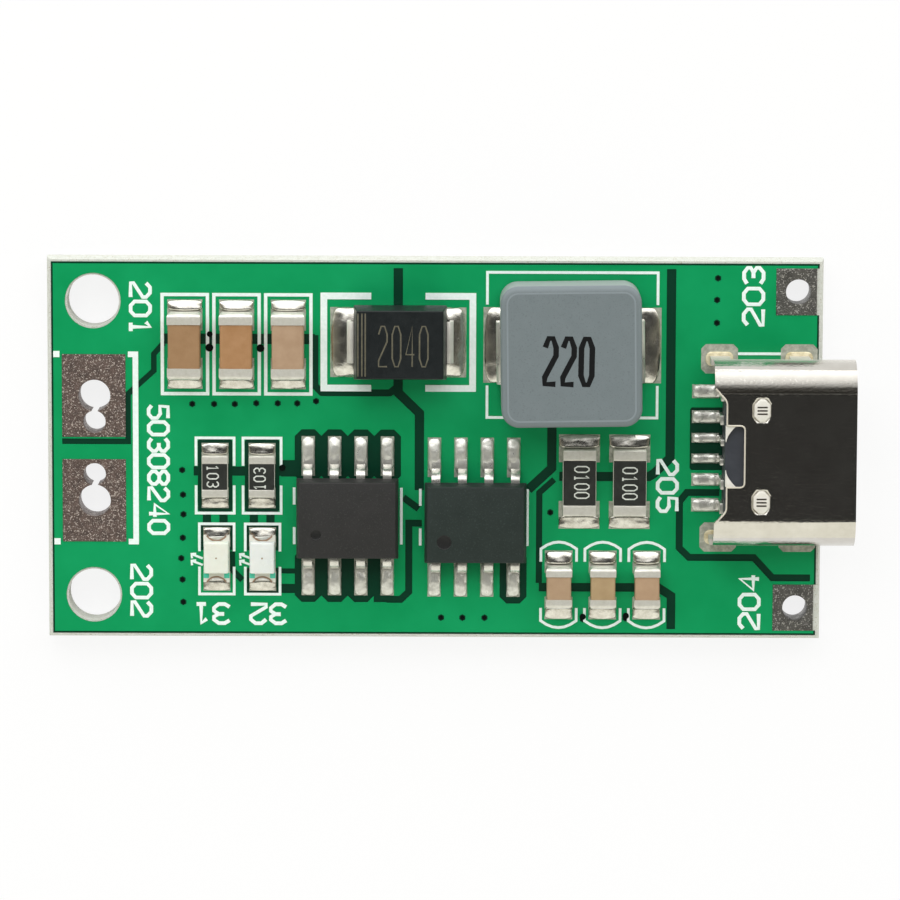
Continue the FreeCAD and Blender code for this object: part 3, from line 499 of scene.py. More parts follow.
    @staticmethod
    def merged_copy(node: str, name: str) -> Shape:
        """Copies a CAD node's mesh and closes its loose triangles.

        Args:
            node: The CAD node.
            name: The copy's name.

        Returns:
            A copy whose faces share their corners.
        """
        piece = bpy.data.objects.new(name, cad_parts[node].data.copy())
        bpy.context.scene.collection.objects.link(piece)
        piece.data.materials.clear()
        Bench.hold(piece)
        bpy.ops.object.mode_set(mode="EDIT")
        bpy.ops.mesh.select_all(action="SELECT")
        bpy.ops.mesh.remove_doubles(threshold=MERGE / 2 * MM)
        bpy.ops.mesh.dissolve_limited(angle_limit=math.radians(FLAT))
        bpy.ops.object.mode_set(mode="OBJECT")
        return piece


class NodeBench:
    """Lays out the nodes of one material or group."""

    def __init__(self, tree: bpy.types.NodeTree) -> None:
        """Takes the tree to work on."""
        self.tree = tree

    def add(self, kind: str, **inputs: object) -> bpy.types.Node:
        """Adds a node and feeds its inputs by name, with spaces as underscores.

        Args:
            kind: The node's type, without the leading ShaderNode.
            inputs: Plain values or wires for the node's inputs.

        Returns:
            The new node.
        """
        node = self.tree.nodes.new(f"ShaderNode{kind}")
        for name, value in inputs.items():
            self.feed(value, node.inputs[name.replace("_", " ")])
        return node

    def feed(self, value: object, target: Wire) -> None:
        """Gives an input a wire or a plain value."""
        if isinstance(value, Wire):
            self.tree.links.new(value, target)
        else:
            target.default_value = value

    def maths(self, operation: str, *values: object) -> Wire:
        """Works out something from wires and plain numbers.

        Args:
            operation: What is worked out.
            values: The wires or numbers, in order.

        Returns:
            The result's wire.
        """
        node = self.add("Math")
        node.operation = operation
        for value, target in zip(values, node.inputs):
            self.feed(value, target)
        return node.outputs[0]

    def mix(self, mask: Wire, first: object, second: object) -> Wire:
        """Mixes two colours by a mask.

        Args:
            mask: Says how much of the second colour shows.
            first: A colour or the wire of one.
            second: A colour or the wire of one.

        Returns:
            The mixed colour's wire.
        """
        node = self.add("Mix", Factor=mask)
        node.data_type = "RGBA"
        for name, value in (("A", first), ("B", second)):
            target = [entry for entry in node.inputs if entry.name == name and entry.type == "RGBA"][0]
            self.feed(value if isinstance(value, Wire) else (*value, 1), target)
        return [entry for entry in node.outputs if entry.type == "RGBA"][0]

    def spread(self, source: Wire, low: float, high: float, floor: object = 0.0,
               ceiling: object = 1.0) -> Wire:
        """Maps a value from floor and ceiling to low and high.

        Args:
            source: The value's wire.
            low: What the floor becomes.
            high: What the ceiling becomes.
            floor: The lower end of the value, a number or a wire.
            ceiling: The upper end of the value, a number or a wire.

        Returns:
            The mapped value's wire.
        """
        node = self.add("MapRange", Value=source, From_Min=floor, From_Max=ceiling, To_Min=low, To_Max=high)
        return node.outputs["Result"]

    def part(self, vector: Wire, axis: str) -> Wire:
        """Takes one part, X, Y or Z, out of a vector."""
        return self.add("SeparateXYZ", Vector=vector).outputs[axis]


class Effect(Enum):
    """The shared surface effects, each a node group."""

    TONE = "uneven_tone"
    SPECKS = "fine_specks"
    RELIEF = "shallow_relief"
    LEVEL = "level_step"


class Effects:
    """Builds each shared node group once."""

    made: dict[Effect, bpy.types.NodeTree] = {}
    noise_roughness: float = 0.6
    noise_middle: float = 0.5
    speck_level: float = 0.72
    speck_edge: float = 0.05

    @classmethod
    def group(cls, effect: Effect) -> bpy.types.NodeTree:
        """Gives the node group of an effect, and builds it the first time.

        Args:
            effect: The effect that is wanted.

        Returns:
            Its node group.
        """
        if effect not in cls.made:
            cls.made[effect] = bpy.data.node_groups.new(effect.value, "ShaderNodeTree")
            builders = {Effect.TONE: cls._tone, Effect.SPECKS: cls._specks, Effect.RELIEF: cls._relief,
                        Effect.LEVEL: cls._level}
            builders[effect](NodeBench(cls.made[effect]))
        return cls.made[effect]

    @staticmethod
    def _sockets(bench: NodeBench, output: str, kind: str, **inputs: float) -> tuple[dict[str, Wire], Wire]:
        """Adds a group's Place, its named numbers and its output, and gives the sockets of both sides."""
        entries = bench.tree.interface
        entries.new_socket("Place", in_out="INPUT", socket_type="NodeSocketVector")
        for name, value in inputs.items():
            entry = entries.new_socket(name, in_out="INPUT", socket_type="NodeSocketFloat")
            entry.default_value = value
        entries.new_socket(output, in_out="OUTPUT", socket_type=f"NodeSocket{kind}")
        source = bench.tree.nodes.new("NodeGroupInput")
        target = bench.tree.nodes.new("NodeGroupOutput")
        return dict(source.outputs.items()), target.inputs[output]

    @classmethod
    def _noise(cls, bench: NodeBench, source: dict[str, Wire], detail: float) -> Wire:
        """Adds noise whose place and fineness come from the group's inputs."""
        noise = bench.add("TexNoise", Vector=source["Place"], Scale=source["Fineness"], Detail=detail,
                          Roughness=cls.noise_roughness)
        return noise.outputs["Fac"]

    @classmethod
    def _tone(cls, bench: NodeBench) -> None:
        """Soft patches from 0 to 1; Contrast draws them apart."""
        source, target = cls._sockets(bench, "Tone", "Float", Fineness=1.0, Contrast=1.0)
        centred = bench.maths("SUBTRACT", cls._noise(bench, source, detail=3.0), cls.noise_middle)
        tone = bench.maths("MULTIPLY_ADD", centred, source["Contrast"], cls.noise_middle)
        tone.node.use_clamp = True
        bench.feed(tone, target)

    @classmethod
    def _specks(cls, bench: NodeBench) -> None:
        """Small crisp specks; Amount is how much of the surface they cover."""
        source, target = cls._sockets(bench, "Mask", "Float", Fineness=8.0, Amount=0.1)
        edge = bench.maths("SUBTRACT", cls.speck_level, source["Amount"])
        top = bench.maths("ADD", edge, cls.speck_edge)
        noise = cls._noise(bench, source, detail=1.0)
        bench.feed(bench.spread(noise, 0.0, 1.0, edge, top), target)

    @classmethod
    def _relief(cls, bench: NodeBench) -> None:
        """A normal that stands for small waves of the surface; Depth is in millimetres."""
        source, target = cls._sockets(bench, "Normal", "Vector", Fineness=4.0, Depth=0.01)
        bump = bench.add("Bump", Strength=1.0, Distance=bench.maths("MULTIPLY", source["Depth"], MM),
                         Height=cls._noise(bench, source, detail=2.0))
        bench.feed(bump.outputs["Normal"], target)

    @classmethod
    def _level(cls, bench: NodeBench) -> None:
        """0 below the Floor and 1 above the Ceiling, both heights in millimetres."""
        source, target = cls._sockets(bench, "Mask", "Float", Floor=0.0, Ceiling=1.0)
        height = bench.part(source["Place"], "Z")
        bench.feed(bench.spread(height, 0.0, 1.0, source["Floor"], source["Ceiling"]), target)


@dataclass(frozen=True)
class Finish:
    """A finish with an uneven tone, fine specks and a shallow relief.

    Fineness is the number of waves or specks in a millimetre.
    """

    name: str
    slot: str
    colour: Colour
    shade: Colour
    roughness: tuple[float, float] = (0.4, 0.5)
    metallic: float = 0.0
    tone_fineness: float = 1.5
    tone_contrast: float = 2.0
    speck_colour: Optional[Colour] = None
    speck_fineness: float = 9.0
    speck_amount: float = 0.1
    relief_fineness: float = 8.0
    relief_depth: float = 0.0
    specular: float = 0.5

    @property
    def full_name(self) -> str:
        """The material's name, which differs from the plain CAD material's."""
        return f"{self.name}_finish"

    def material(self) -> bpy.types.Material:
        """Gives the finish's material, which is made the first time."""
        return bpy.data.materials.get(self.full_name) or self._make()

    @staticmethod
    def _effect(bench: NodeBench, effect: Effect, place: Wire, **values: float) -> Wire:
        """Places a shared effect with its own values and gives its output."""
        node = bench.add("Group")
        node.node_tree = Effects.group(effect)
        bench.feed(place, node.inputs["Place"])
        for name, value in values.items():
            bench.feed(value, node.inputs[name])
        return node.outputs[0]

    def _step(self, bench: NodeBench, place: Wire, heights: tuple[float, float]) -> Wire:
        """Gives a mask that rises from 0 to 1 between two heights in millimetres."""
        return self._effect(bench, Effect.LEVEL, place, Floor=heights[0], Ceiling=heights[1])

    def _colour(self, bench: NodeBench, place: Wire, tone: Wire) -> Wire:
        """Mixes the base colour, its shade and the specks."""
        colour = bench.mix(tone, self.colour, self.shade)
        if self.speck_colour is None:
            return colour
        specks = self._effect(bench, Effect.SPECKS, place, Fineness=self.speck_fineness,
                              Amount=self.speck_amount)
        return bench.mix(specks, colour, self.speck_colour)

    def _refine(self, bench: NodeBench, place: Wire, shader: bpy.types.Node) -> None:
        """Adds to the shader what only some finishes have."""

    def _make(self) -> bpy.types.Material:
        """Builds the material."""
        material = bpy.data.materials.new(self.full_name)
        material.use_nodes = True
        material.node_tree.nodes.clear()
        bench = NodeBench(material.node_tree)
        scaled = bench.add("VectorMath")
        scaled.operation = "SCALE"
        bench.feed(bench.add("TexCoord").outputs["Object"], scaled.inputs[0])
        bench.feed(1 / MM, scaled.inputs["Scale"])
        place = scaled.outputs["Vector"]
        tone = self._effect(bench, Effect.TONE, place, Fineness=self.tone_fineness,
                            Contrast=self.tone_contrast)
        shader = bench.add("BsdfPrincipled", Base_Color=self._colour(bench, place, tone),
                           Roughness=bench.spread(tone, *self.roughness), Metallic=self.metallic,
                           Specular_IOR_Level=self.specular)
        if self.relief_depth:
            relief = self._effect(bench, Effect.RELIEF, place, Fineness=self.relief_fineness,
                                  Depth=self.relief_depth)
            bench.feed(relief, shader.inputs["Normal"])
        self._refine(bench, place, shader)
        bench.add("OutputMaterial", Surface=shader.outputs["BSDF"])
        return material


@dataclass(frozen=True)
class LayeredFinish(Finish):
    """A finish whose colour changes with height; heights are in millimetres.

    Below the first pair of heights it has the under colour, between the pairs the middle
    colour, and above the second pair the finish's own colour.
    """

    under: Colour = (0.0, 0.0, 0.0)
    middle: Colour = (0.0, 0.0, 0.0)
    first_step: tuple[float, float] = (0.0, 0.1)
    second_step: tuple[float, float] = (0.0, 0.1)

    def _colour(self, bench: NodeBench, place: Wire, tone: Wire) -> Wire:
        """Mixes the three colours by height."""
        lower = bench.mix(self._step(bench, place, self.first_step), self.under, self.middle)
        own = super()._colour(bench, place, tone)
        return bench.mix(self._step(bench, place, self.second_step), lower, own)


@dataclass(frozen=True)
class PolishedFinish(Finish):
    """Metal that is satin at its foot and polished above, with painted shade along its fold at the +Y side.

    The satin step is a pair of heights and the shaded fold's start and end are pairs of places
    along Y, all in millimetres. Along the fold the metal is rougher, and its colour is darkened
    towards a dark colour: painted shade in place of the dim overhead that the fold would reflect.
    """

    satin_step: tuple[float, float] = (3.1, 3.8)
    satin_roughness: float = 0.45
    satin_metallic: float = 0.3
    shaded_fold_start: tuple[float, float] = (3.0, 3.15)
    shaded_fold_end: tuple[float, float] = (3.35, 4.05)
    shaded_fold_roughness: float = 0.4
    shaded_fold_depth: float = 0.03
    shaded_fold_colour: Colour = srgb(60, 58, 54)

    def _refine(self, bench: NodeBench, place: Wire, shader: bpy.types.Node) -> None:
        """Turns the metal satin below the step, and roughens the +Y fold and darkens its colour there as
        painted shade.
        """
        step = self._step(bench, place, self.satin_step)
        bench.feed(bench.spread(step, self.satin_metallic, self.metallic), shader.inputs["Metallic"])
        across = bench.part(place, "Y")
        shaded_fold = bench.maths("MULTIPLY", bench.spread(across, 0.0, 1.0, *self.shaded_fold_start),
                            bench.spread(across, 1.0, 0.0, *self.shaded_fold_end))
        satin = bench.spread(step, self.satin_roughness, sum(self.roughness) / 2)
        rough = bench.maths("MAXIMUM", satin, bench.spread(shaded_fold, 0.0, self.shaded_fold_roughness))
        bench.feed(rough, shader.inputs["Roughness"])
        # Painted shade: the base colour is mixed towards a dark colour along the +Y fold.
        unshaded_colour = shader.inputs["Base Color"].links[0].from_socket
        bench.feed(bench.mix(shaded_fold, unshaded_colour, self.shaded_fold_colour), shader.inputs["Base Color"])
        relief = shader.inputs["Normal"].links[0].from_node
        bench.feed(bench.spread(shaded_fold, self.relief_depth, self.shaded_fold_depth), relief.inputs["Depth"])


@dataclass(frozen=True)
class LensFinish(Finish):
    """Cast milky resin of a lamp, with light that goes in and scatters."""

    depth: float = 0.5
    scatter: float = 0.3
    scatter_radius: Colour = (1.0, 0.8, 0.6)

    def _refine(self, bench: NodeBench, place: Wire, shader: bpy.types.Node) -> None:
        """Adds scattering inside."""
        bench.feed(self.scatter, shader.inputs["Subsurface Weight"])
        bench.feed(self.scatter_radius, shader.inputs["Subsurface Radius"])
        bench.feed(self.depth * MM, shader.inputs["Subsurface Scale"])


def ceramic(name: str, slot: str, colour: Colour, shade: Colour) -> Finish:
    """Makes the finish of one fired ceramic.

    Args:
        name: The finish's name.
        slot: The slot name, kept on the finish.
        colour: The ceramic's colour.
        shade: The colour of its darker or paler patches.

    Returns:
        The finish.
    """
    return Finish(name, slot, colour, shade, (0.5, 0.62), tone_fineness=1.8, tone_contrast=2.4,
                  relief_fineness=10, relief_depth=0.006, specular=0.4)


LAMINATE = Finish("glass_laminate", "laminate", srgb(201, 204, 196), srgb(212, 214, 208), (0.6, 0.8),
                  tone_fineness=4, tone_contrast=3, speck_colour=srgb(176, 172, 150), speck_fineness=16,
                  relief_fineness=12, relief_depth=0.02)
GREEN_MASK = LayeredFinish("green_mask", "solder_mask", srgb(5, 146, 85), srgb(10, 158, 96), (0.28, 0.34),
                           tone_fineness=0.3, tone_contrast=2.2, relief_fineness=2.5, relief_depth=0.004,
                           specular=0.3, under=srgb(2, 50, 32), middle=srgb(2, 56, 37),
                           first_step=(1.2, 1.5), second_step=(1.583, 1.596))
MASK_BELOW = Finish("green_mask_below", "solder_mask", srgb(4, 144, 84), srgb(9, 154, 93), (0.28, 0.34),
                    tone_fineness=0.3, tone_contrast=2.2, relief_fineness=2.5, relief_depth=0.004,
                    specular=0.3)
WELL_SHADE = Finish("well_shade", "solder_mask", srgb(3, 10, 8), srgb(4, 16, 11), (0.7, 0.8),
                    relief_fineness=6, relief_depth=0.004, specular=0.1)
WHITE_PRINT = Finish("white_print", "print", srgb(243, 253, 251), srgb(228, 244, 239), (0.55, 0.7),
                     tone_fineness=6, tone_contrast=2.5, relief_fineness=20, relief_depth=0.004)
TINNED_PAD = Finish("tinned_pad", "tinned_pad", srgb(114, 98, 92), srgb(88, 77, 73), (0.3, 0.5), 0.75,
                    tone_fineness=3, tone_contrast=3, speck_colour=srgb(190, 178, 170),
                    speck_fineness=15, speck_amount=0.13, relief_fineness=11, relief_depth=0.05)
WORN_PAD = replace(TINNED_PAD, name="worn_pad", colour=srgb(104, 102, 98), shade=srgb(84, 83, 80),
                   tone_fineness=2, speck_colour=srgb(176, 174, 168), speck_amount=0.12,
                   relief_depth=0.04)

SOLDER = Finish("bright_solder", "solder", srgb(224, 222, 214), srgb(198, 194, 184), (0.14, 0.28), 1.0,
                tone_fineness=2.5, tone_contrast=2.5, relief_fineness=3, relief_depth=0.01)
PIN_SOLDER = Finish("pin_solder", "solder", srgb(228, 228, 222), srgb(204, 203, 195), (0.26, 0.42), 0.62,
                    tone_fineness=4, tone_contrast=2.5, relief_fineness=4, relief_depth=0.012)
AGED_SOLDER = Finish("aged_solder", "solder", srgb(198, 184, 142), srgb(232, 222, 192), (0.35, 0.5), 0.3,
                     tone_fineness=2.5, tone_contrast=4, relief_fineness=4, relief_depth=0.02)
RING_TIN = Finish("ring_tin", "solder", srgb(200, 201, 188), srgb(160, 163, 150), (0.35, 0.5), 0.4,
                  tone_fineness=4, tone_contrast=4, relief_fineness=5, relief_depth=0.02)
TINNED_LEAD = Finish("tinned_lead", "tinned_lead", srgb(228, 227, 221), srgb(208, 206, 199), (0.24, 0.38),
                     0.8, tone_fineness=3, relief_fineness=6, relief_depth=0.01)
SATIN_LEAD = replace(TINNED_LEAD, name="satin_lead", colour=srgb(230, 228, 220),
                     shade=srgb(212, 210, 202), roughness=(0.35, 0.45), metallic=0.4)
CONTACT_TIN = replace(TINNED_LEAD, name="contact_tin", slot="gold_contact", colour=srgb(226, 225, 219),
                      shade=srgb(206, 204, 197), relief_depth=0.006)
GOLD = Finish("gold_contact", "gold_contact", srgb(222, 186, 120), srgb(204, 168, 104), (0.2, 0.3), 1.0,
              relief_fineness=10, relief_depth=0.004)
END_METAL = Finish("end_metal", "end_metal", srgb(232, 230, 222), srgb(210, 208, 197), (0.34, 0.48), 0.55,
                   tone_fineness=3.5, tone_contrast=2.2, relief_fineness=4, relief_depth=0.014)
NOTCH_LINING = Finish("notch_lining", "gold_contact", srgb(176, 148, 124), srgb(150, 124, 102),
                      (0.4, 0.5), 0.3, tone_fineness=4, relief_fineness=6, relief_depth=0.01)

# Paler on the chamfer round the top than on the top itself: painted light where the rounded edge catches the
# bright sides. The sides below the chamfer are paler still.
POWDER = LayeredFinish("pressed_powder", "inductor_powder", srgb(112, 122, 126), srgb(117, 127, 131),
                       (0.45, 0.55), tone_contrast=1.6, speck_colour=srgb(106, 116, 120),
                       speck_fineness=14, relief_fineness=12, relief_depth=0.006, specular=0.35,
                       under=srgb(140, 154, 150), middle=srgb(120, 130, 134), first_step=(4.24, 4.3),
                       second_step=(4.57, 4.597))
# Painted highlight: the paler line along the inner rim of the inductor's rounded top edge.
EDGE_HIGHLIGHT = Finish("painted_edge_highlight", "inductor_powder", srgb(136, 145, 150), srgb(128, 138, 143),
                      specular=0.35, relief_fineness=12, relief_depth=0.006)
DARK_INK = Finish("dark_ink", "inductor_powder", srgb(12, 13, 15), srgb(20, 21, 23), (0.6, 0.7),
                  tone_fineness=5, relief_fineness=14, relief_depth=0.004, specular=0.15)
DIODE_RESIN = Finish("diode_resin", "diode_resin", srgb(20, 25, 27), srgb(26, 31, 33), (0.32, 0.44),
                     tone_fineness=2, relief_fineness=16, relief_depth=0.01, specular=0.3)
LASER_LINE = Finish("laser_line", "diode_resin", srgb(108, 104, 88), srgb(84, 82, 70), (0.6, 0.7),
                    tone_fineness=5, relief_fineness=14, relief_depth=0.004, specular=0.2)
CHARGER_RESIN = Finish("charger_resin", "charger_resin", srgb(38, 38, 38), srgb(43, 42, 42), (0.5, 0.62),
                       tone_fineness=1.2, speck_colour=srgb(50, 50, 49), speck_fineness=14,
                       relief_fineness=14, relief_depth=0.01, specular=0.35)
CONVERTER_RESIN = replace(CHARGER_RESIN, name="converter_resin", slot="converter_resin",
                          colour=srgb(28, 39, 36), shade=srgb(33, 44, 41),
                          speck_colour=srgb(42, 53, 50))
DIMPLE_SHADE = Finish("dimple_shade", "charger_resin", srgb(23, 24, 24), srgb(30, 31, 31), (0.3, 0.4),
                      relief_fineness=14, relief_depth=0.01)

# Its +Y fold carries painted shade, a dark band in its colour.
SHELL_STEEL = PolishedFinish("shell_steel", "shell_steel", srgb(216, 213, 206), srgb(200, 196, 188),
                             (0.09, 0.15), 1.0, tone_fineness=0.8, relief_depth=0.009)
# The sheet's cut edge, painted paler as a highlight where the edge catches light.
CUT_EDGE_AND_HIGHLIGHT = Finish("cut_edge_and_highlight", "shell_steel", srgb(224, 218, 204), srgb(204, 197, 182), (0.4, 0.5), 0.3,
                   tone_fineness=4, relief_fineness=6, relief_depth=0.005)
PRESSED_STEEL = Finish("pressed_steel", "shell_steel", srgb(238, 236, 230), srgb(224, 220, 210),
                       (0.45, 0.6), 0.3, tone_fineness=3, relief_fineness=5, relief_depth=0.01)
SLIT_SHADE = Finish("slit_shade", "shell_steel", srgb(46, 39, 33), srgb(62, 54, 46), (0.5, 0.6), 0.2,
                    tone_fineness=4, relief_fineness=6, relief_depth=0.005, specular=0.3)
SOCKET_PLASTIC = Finish("socket_plastic", "socket_plastic", srgb(50, 53, 60), srgb(60, 63, 70),
                        (0.45, 0.55), relief_fineness=14, relief_depth=0.006, specular=0.35)

CERAMICS = {
    "battery_capacitor": (
        ceramic("ceramic_tan", "ceramic_tan", srgb(151, 117, 82), srgb(160, 126, 91)),
        ceramic("ceramic_orange", "ceramic_orange", srgb(162, 120, 79), srgb(172, 131, 92)),
        ceramic("ceramic_pale", "ceramic_pale", srgb(166, 137, 110), srgb(177, 149, 122))),
    "input_capacitor": (
        ceramic("input_ceramic_tan", "ceramic_tan", srgb(168, 140, 112), srgb(176, 149, 120)),
        ceramic("input_ceramic_orange", "ceramic_orange", srgb(166, 141, 105), srgb(176, 151, 115)),
        ceramic("input_ceramic_pale", "ceramic_pale", srgb(170, 140, 111), srgb(180, 151, 122))),
}
ALUMINA = Finish("alumina", "alumina", srgb(206, 204, 194), srgb(190, 188, 178), (0.6, 0.7),
                 relief_fineness=16, relief_depth=0.01)
OVERCOAT = Finish("dark_overcoat", "overcoat", srgb(39, 41, 39), srgb(47, 49, 46), (0.3, 0.45),
                  tone_fineness=3, relief_fineness=12, relief_depth=0.01, specular=0.35)
PALE_INK = Finish("pale_ink", "overcoat", srgb(222, 226, 220), srgb(192, 198, 190), (0.6, 0.7),
                  tone_fineness=6, relief_fineness=14, relief_depth=0.004)

LAMP_BASE = Finish("lamp_base", "led_base", srgb(234, 234, 225), srgb(224, 222, 210), (0.5, 0.6),
                   relief_fineness=14, relief_depth=0.01)
LAMP_MARK = Finish("lamp_mark", "led_base", srgb(66, 204, 170), srgb(96, 216, 186), (0.5, 0.6))
LAMP_DIE = Finish("lamp_die", "led_base", srgb(172, 156, 132), srgb(150, 134, 112), (0.5, 0.6))
LENS_IVORY = LensFinish("lens_ivory", "lens_ivory", srgb(236, 240, 231), srgb(228, 230, 218), (0.2, 0.3),
                        relief_fineness=4, relief_depth=0.01)
LENS_WHITE = replace(LENS_IVORY, name="lens_white", slot="lens_white", colour=srgb(236, 239, 237),
                     shade=srgb(226, 231, 227))


class SubAssembly:
    """What all sub-assemblies share: handing over their pieces and dressing CAD nodes."""

    def hand_over(self, piece: Shape, finish: Finish, *nodes: str) -> Shape:
        """Gives a new piece its finish and its body, and hides the CAD nodes that it stands for.

        A piece that was joined from painted ones keeps its paint, and the finish is only logged.

        Args:
            piece: The finished piece.
            finish: Its finish.
            nodes: The CAD nodes that it replaces.

        Returns:
            The piece.
        """
        if not piece.data.materials:
            self.paint(piece, finish)
        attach(piece, BODY)
        if nodes:
            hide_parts(*nodes)
        log.info("%s: %d faces, %s", piece.name, len(piece.data.polygons), finish.name)
        return piece

    @staticmethod
    def paint(piece: Shape, finish: Finish) -> Shape:
        """Gives a piece one finish all over."""
        piece.data.materials.clear()
        piece.data.materials.append(finish.material())
        return piece

    @staticmethod
    def tint(piece: Shape, finish: Finish, chosen: Choice) -> None:
        """Gives some faces of a painted piece another finish.

        Args:
            piece: The piece, which already has its own finish.
            finish: The finish of the chosen faces.
            chosen: Says of a face's centre in millimetres and its normal if it is taken.
        """
        piece.data.materials.append(finish.material())
        with Bench.editing(piece, Pick.FACE, chosen):
            piece.active_material_index = len(piece.data.materials) - 1
            bpy.ops.object.material_slot_assign()

    def dress(self, node: str, finish: Finish) -> None:
        """Gives a CAD node that stays a better material."""
        self.paint(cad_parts[node], finish)
        log.info("%s: CAD shape, %s", node, finish.name)

    def refined(self, node: str, finish: Finish, width: float, segments: int = 2) -> Shape:
        """Stands a merged, softly rounded copy in for a CAD node.

        Args:
            node: The CAD node.
            finish: The copy's finish.
            width: The width of the rounding in millimetres.
            segments: How many faces go round each edge.

        Returns:
            The copy.
        """
        piece = Bench.merged_copy(node, f"{node}_refined")
        Bench.soften(piece, width, segments)
        return self.hand_over(piece, finish, node)


# The strokes of each sign, as points on a field that is 1 wide and 1 high.
GLYPHS: dict[str, tuple[tuple[tuple[float, float], ...], ...]] = {
    "0": (((0.3, 0), (0.7, 0), (1, 0.2), (1, 0.8), (0.7, 1), (0.3, 1), (0, 0.8), (0, 0.2), (0.3, 0)),),
    "1": (((0.15, 0.78), (0.5, 1), (0.5, 0)), ((0.2, 0), (0.8, 0))),
    "2": (((0, 0.8), (0.3, 1), (0.7, 1), (1, 0.8), (1, 0.62), (0, 0.15), (0, 0), (1, 0)),),
    "3": (((0, 0.85), (0.3, 1), (0.7, 1), (1, 0.82), (1, 0.66), (0.7, 0.52), (0.35, 0.52)),
          ((0.7, 0.52), (1, 0.36), (1, 0.2), (0.7, 0), (0.3, 0), (0, 0.15))),
    "4": (((0.75, 0), (0.75, 1), (0, 0.3), (1, 0.3)),),
    "5": (((1, 1), (0.1, 1), (0.05, 0.58), (0.65, 0.6), (1, 0.44), (1, 0.17), (0.7, 0), (0.3, 0),
           (0, 0.15)),),
    "8": (((0.3, 0.53), (0, 0.7), (0, 0.86), (0.3, 1), (0.7, 1), (1, 0.86), (1, 0.7), (0.7, 0.53),
           (0.3, 0.53), (0, 0.35), (0, 0.16), (0.3, 0), (0.7, 0), (1, 0.16), (1, 0.35), (0.7, 0.53)),),
    "arrows": (((1, 0.62), (0.1, 0.94)), ((0.06, 0.62), (0, 1), (0.42, 1)),
               ((1, 0.08), (0.1, 0.4)), ((0.06, 0.05), (0, 0.44), (0.42, 0.46))),
}


@dataclass
class Digits:
    """A line of plain digits drawn with strokes, in ink that stands up a little.

    Fill is the share of the digits' pitch that a digit takes, and lift the share of the
    ink's thickness by which its middle lies over the level.
    """

    text: Sequence[str]
    middle: tuple[float, float]
    length: float
    height: float
    level: float
    turn: Turn = Turn.LEVEL
    tilt: float = 0.0
    stroke: float = 0.17
    fill: float = 0.76
    ink: float = 0.012
    lift: float = 0.4

    def build(self, name: str) -> Shape:
        """Draws the strokes, makes them a mesh and lays them flat in their place.

        Args:
            name: The piece's name.

        Returns:
            The digits as a flat raised mesh.
        """
        pitch = (self.length - self.stroke) / (len(self.text) - 1 + self.fill)
        size = Vector((pitch * self.fill, self.height - self.stroke, 1))
        start = Vector((-(self.length - self.stroke) / 2, -size.y / 2, 0))
        paths = [[start + Vector((index * pitch + across * size.x, up * size.y, 0)) for across, up in points]
                 for index, sign in enumerate(self.text) for points in GLYPHS[sign]]
        piece = Bench.strokes(name, paths, self.stroke, self.ink / 2)
        turn = Matrix.Rotation(math.radians(self.turn.value + self.tilt), 4, "Z")
        place = Matrix.Translation(Vector((*self.middle, self.level + self.ink * self.lift)) * MM)
        piece.data.transform(place @ turn)
        return piece


@dataclass(frozen=True)
class Label:
    """A printed number: its piece's name, digits, middle, length and turn."""

    name: str
    text: str
    middle: tuple[float, float]
    length: float
    turn: Turn


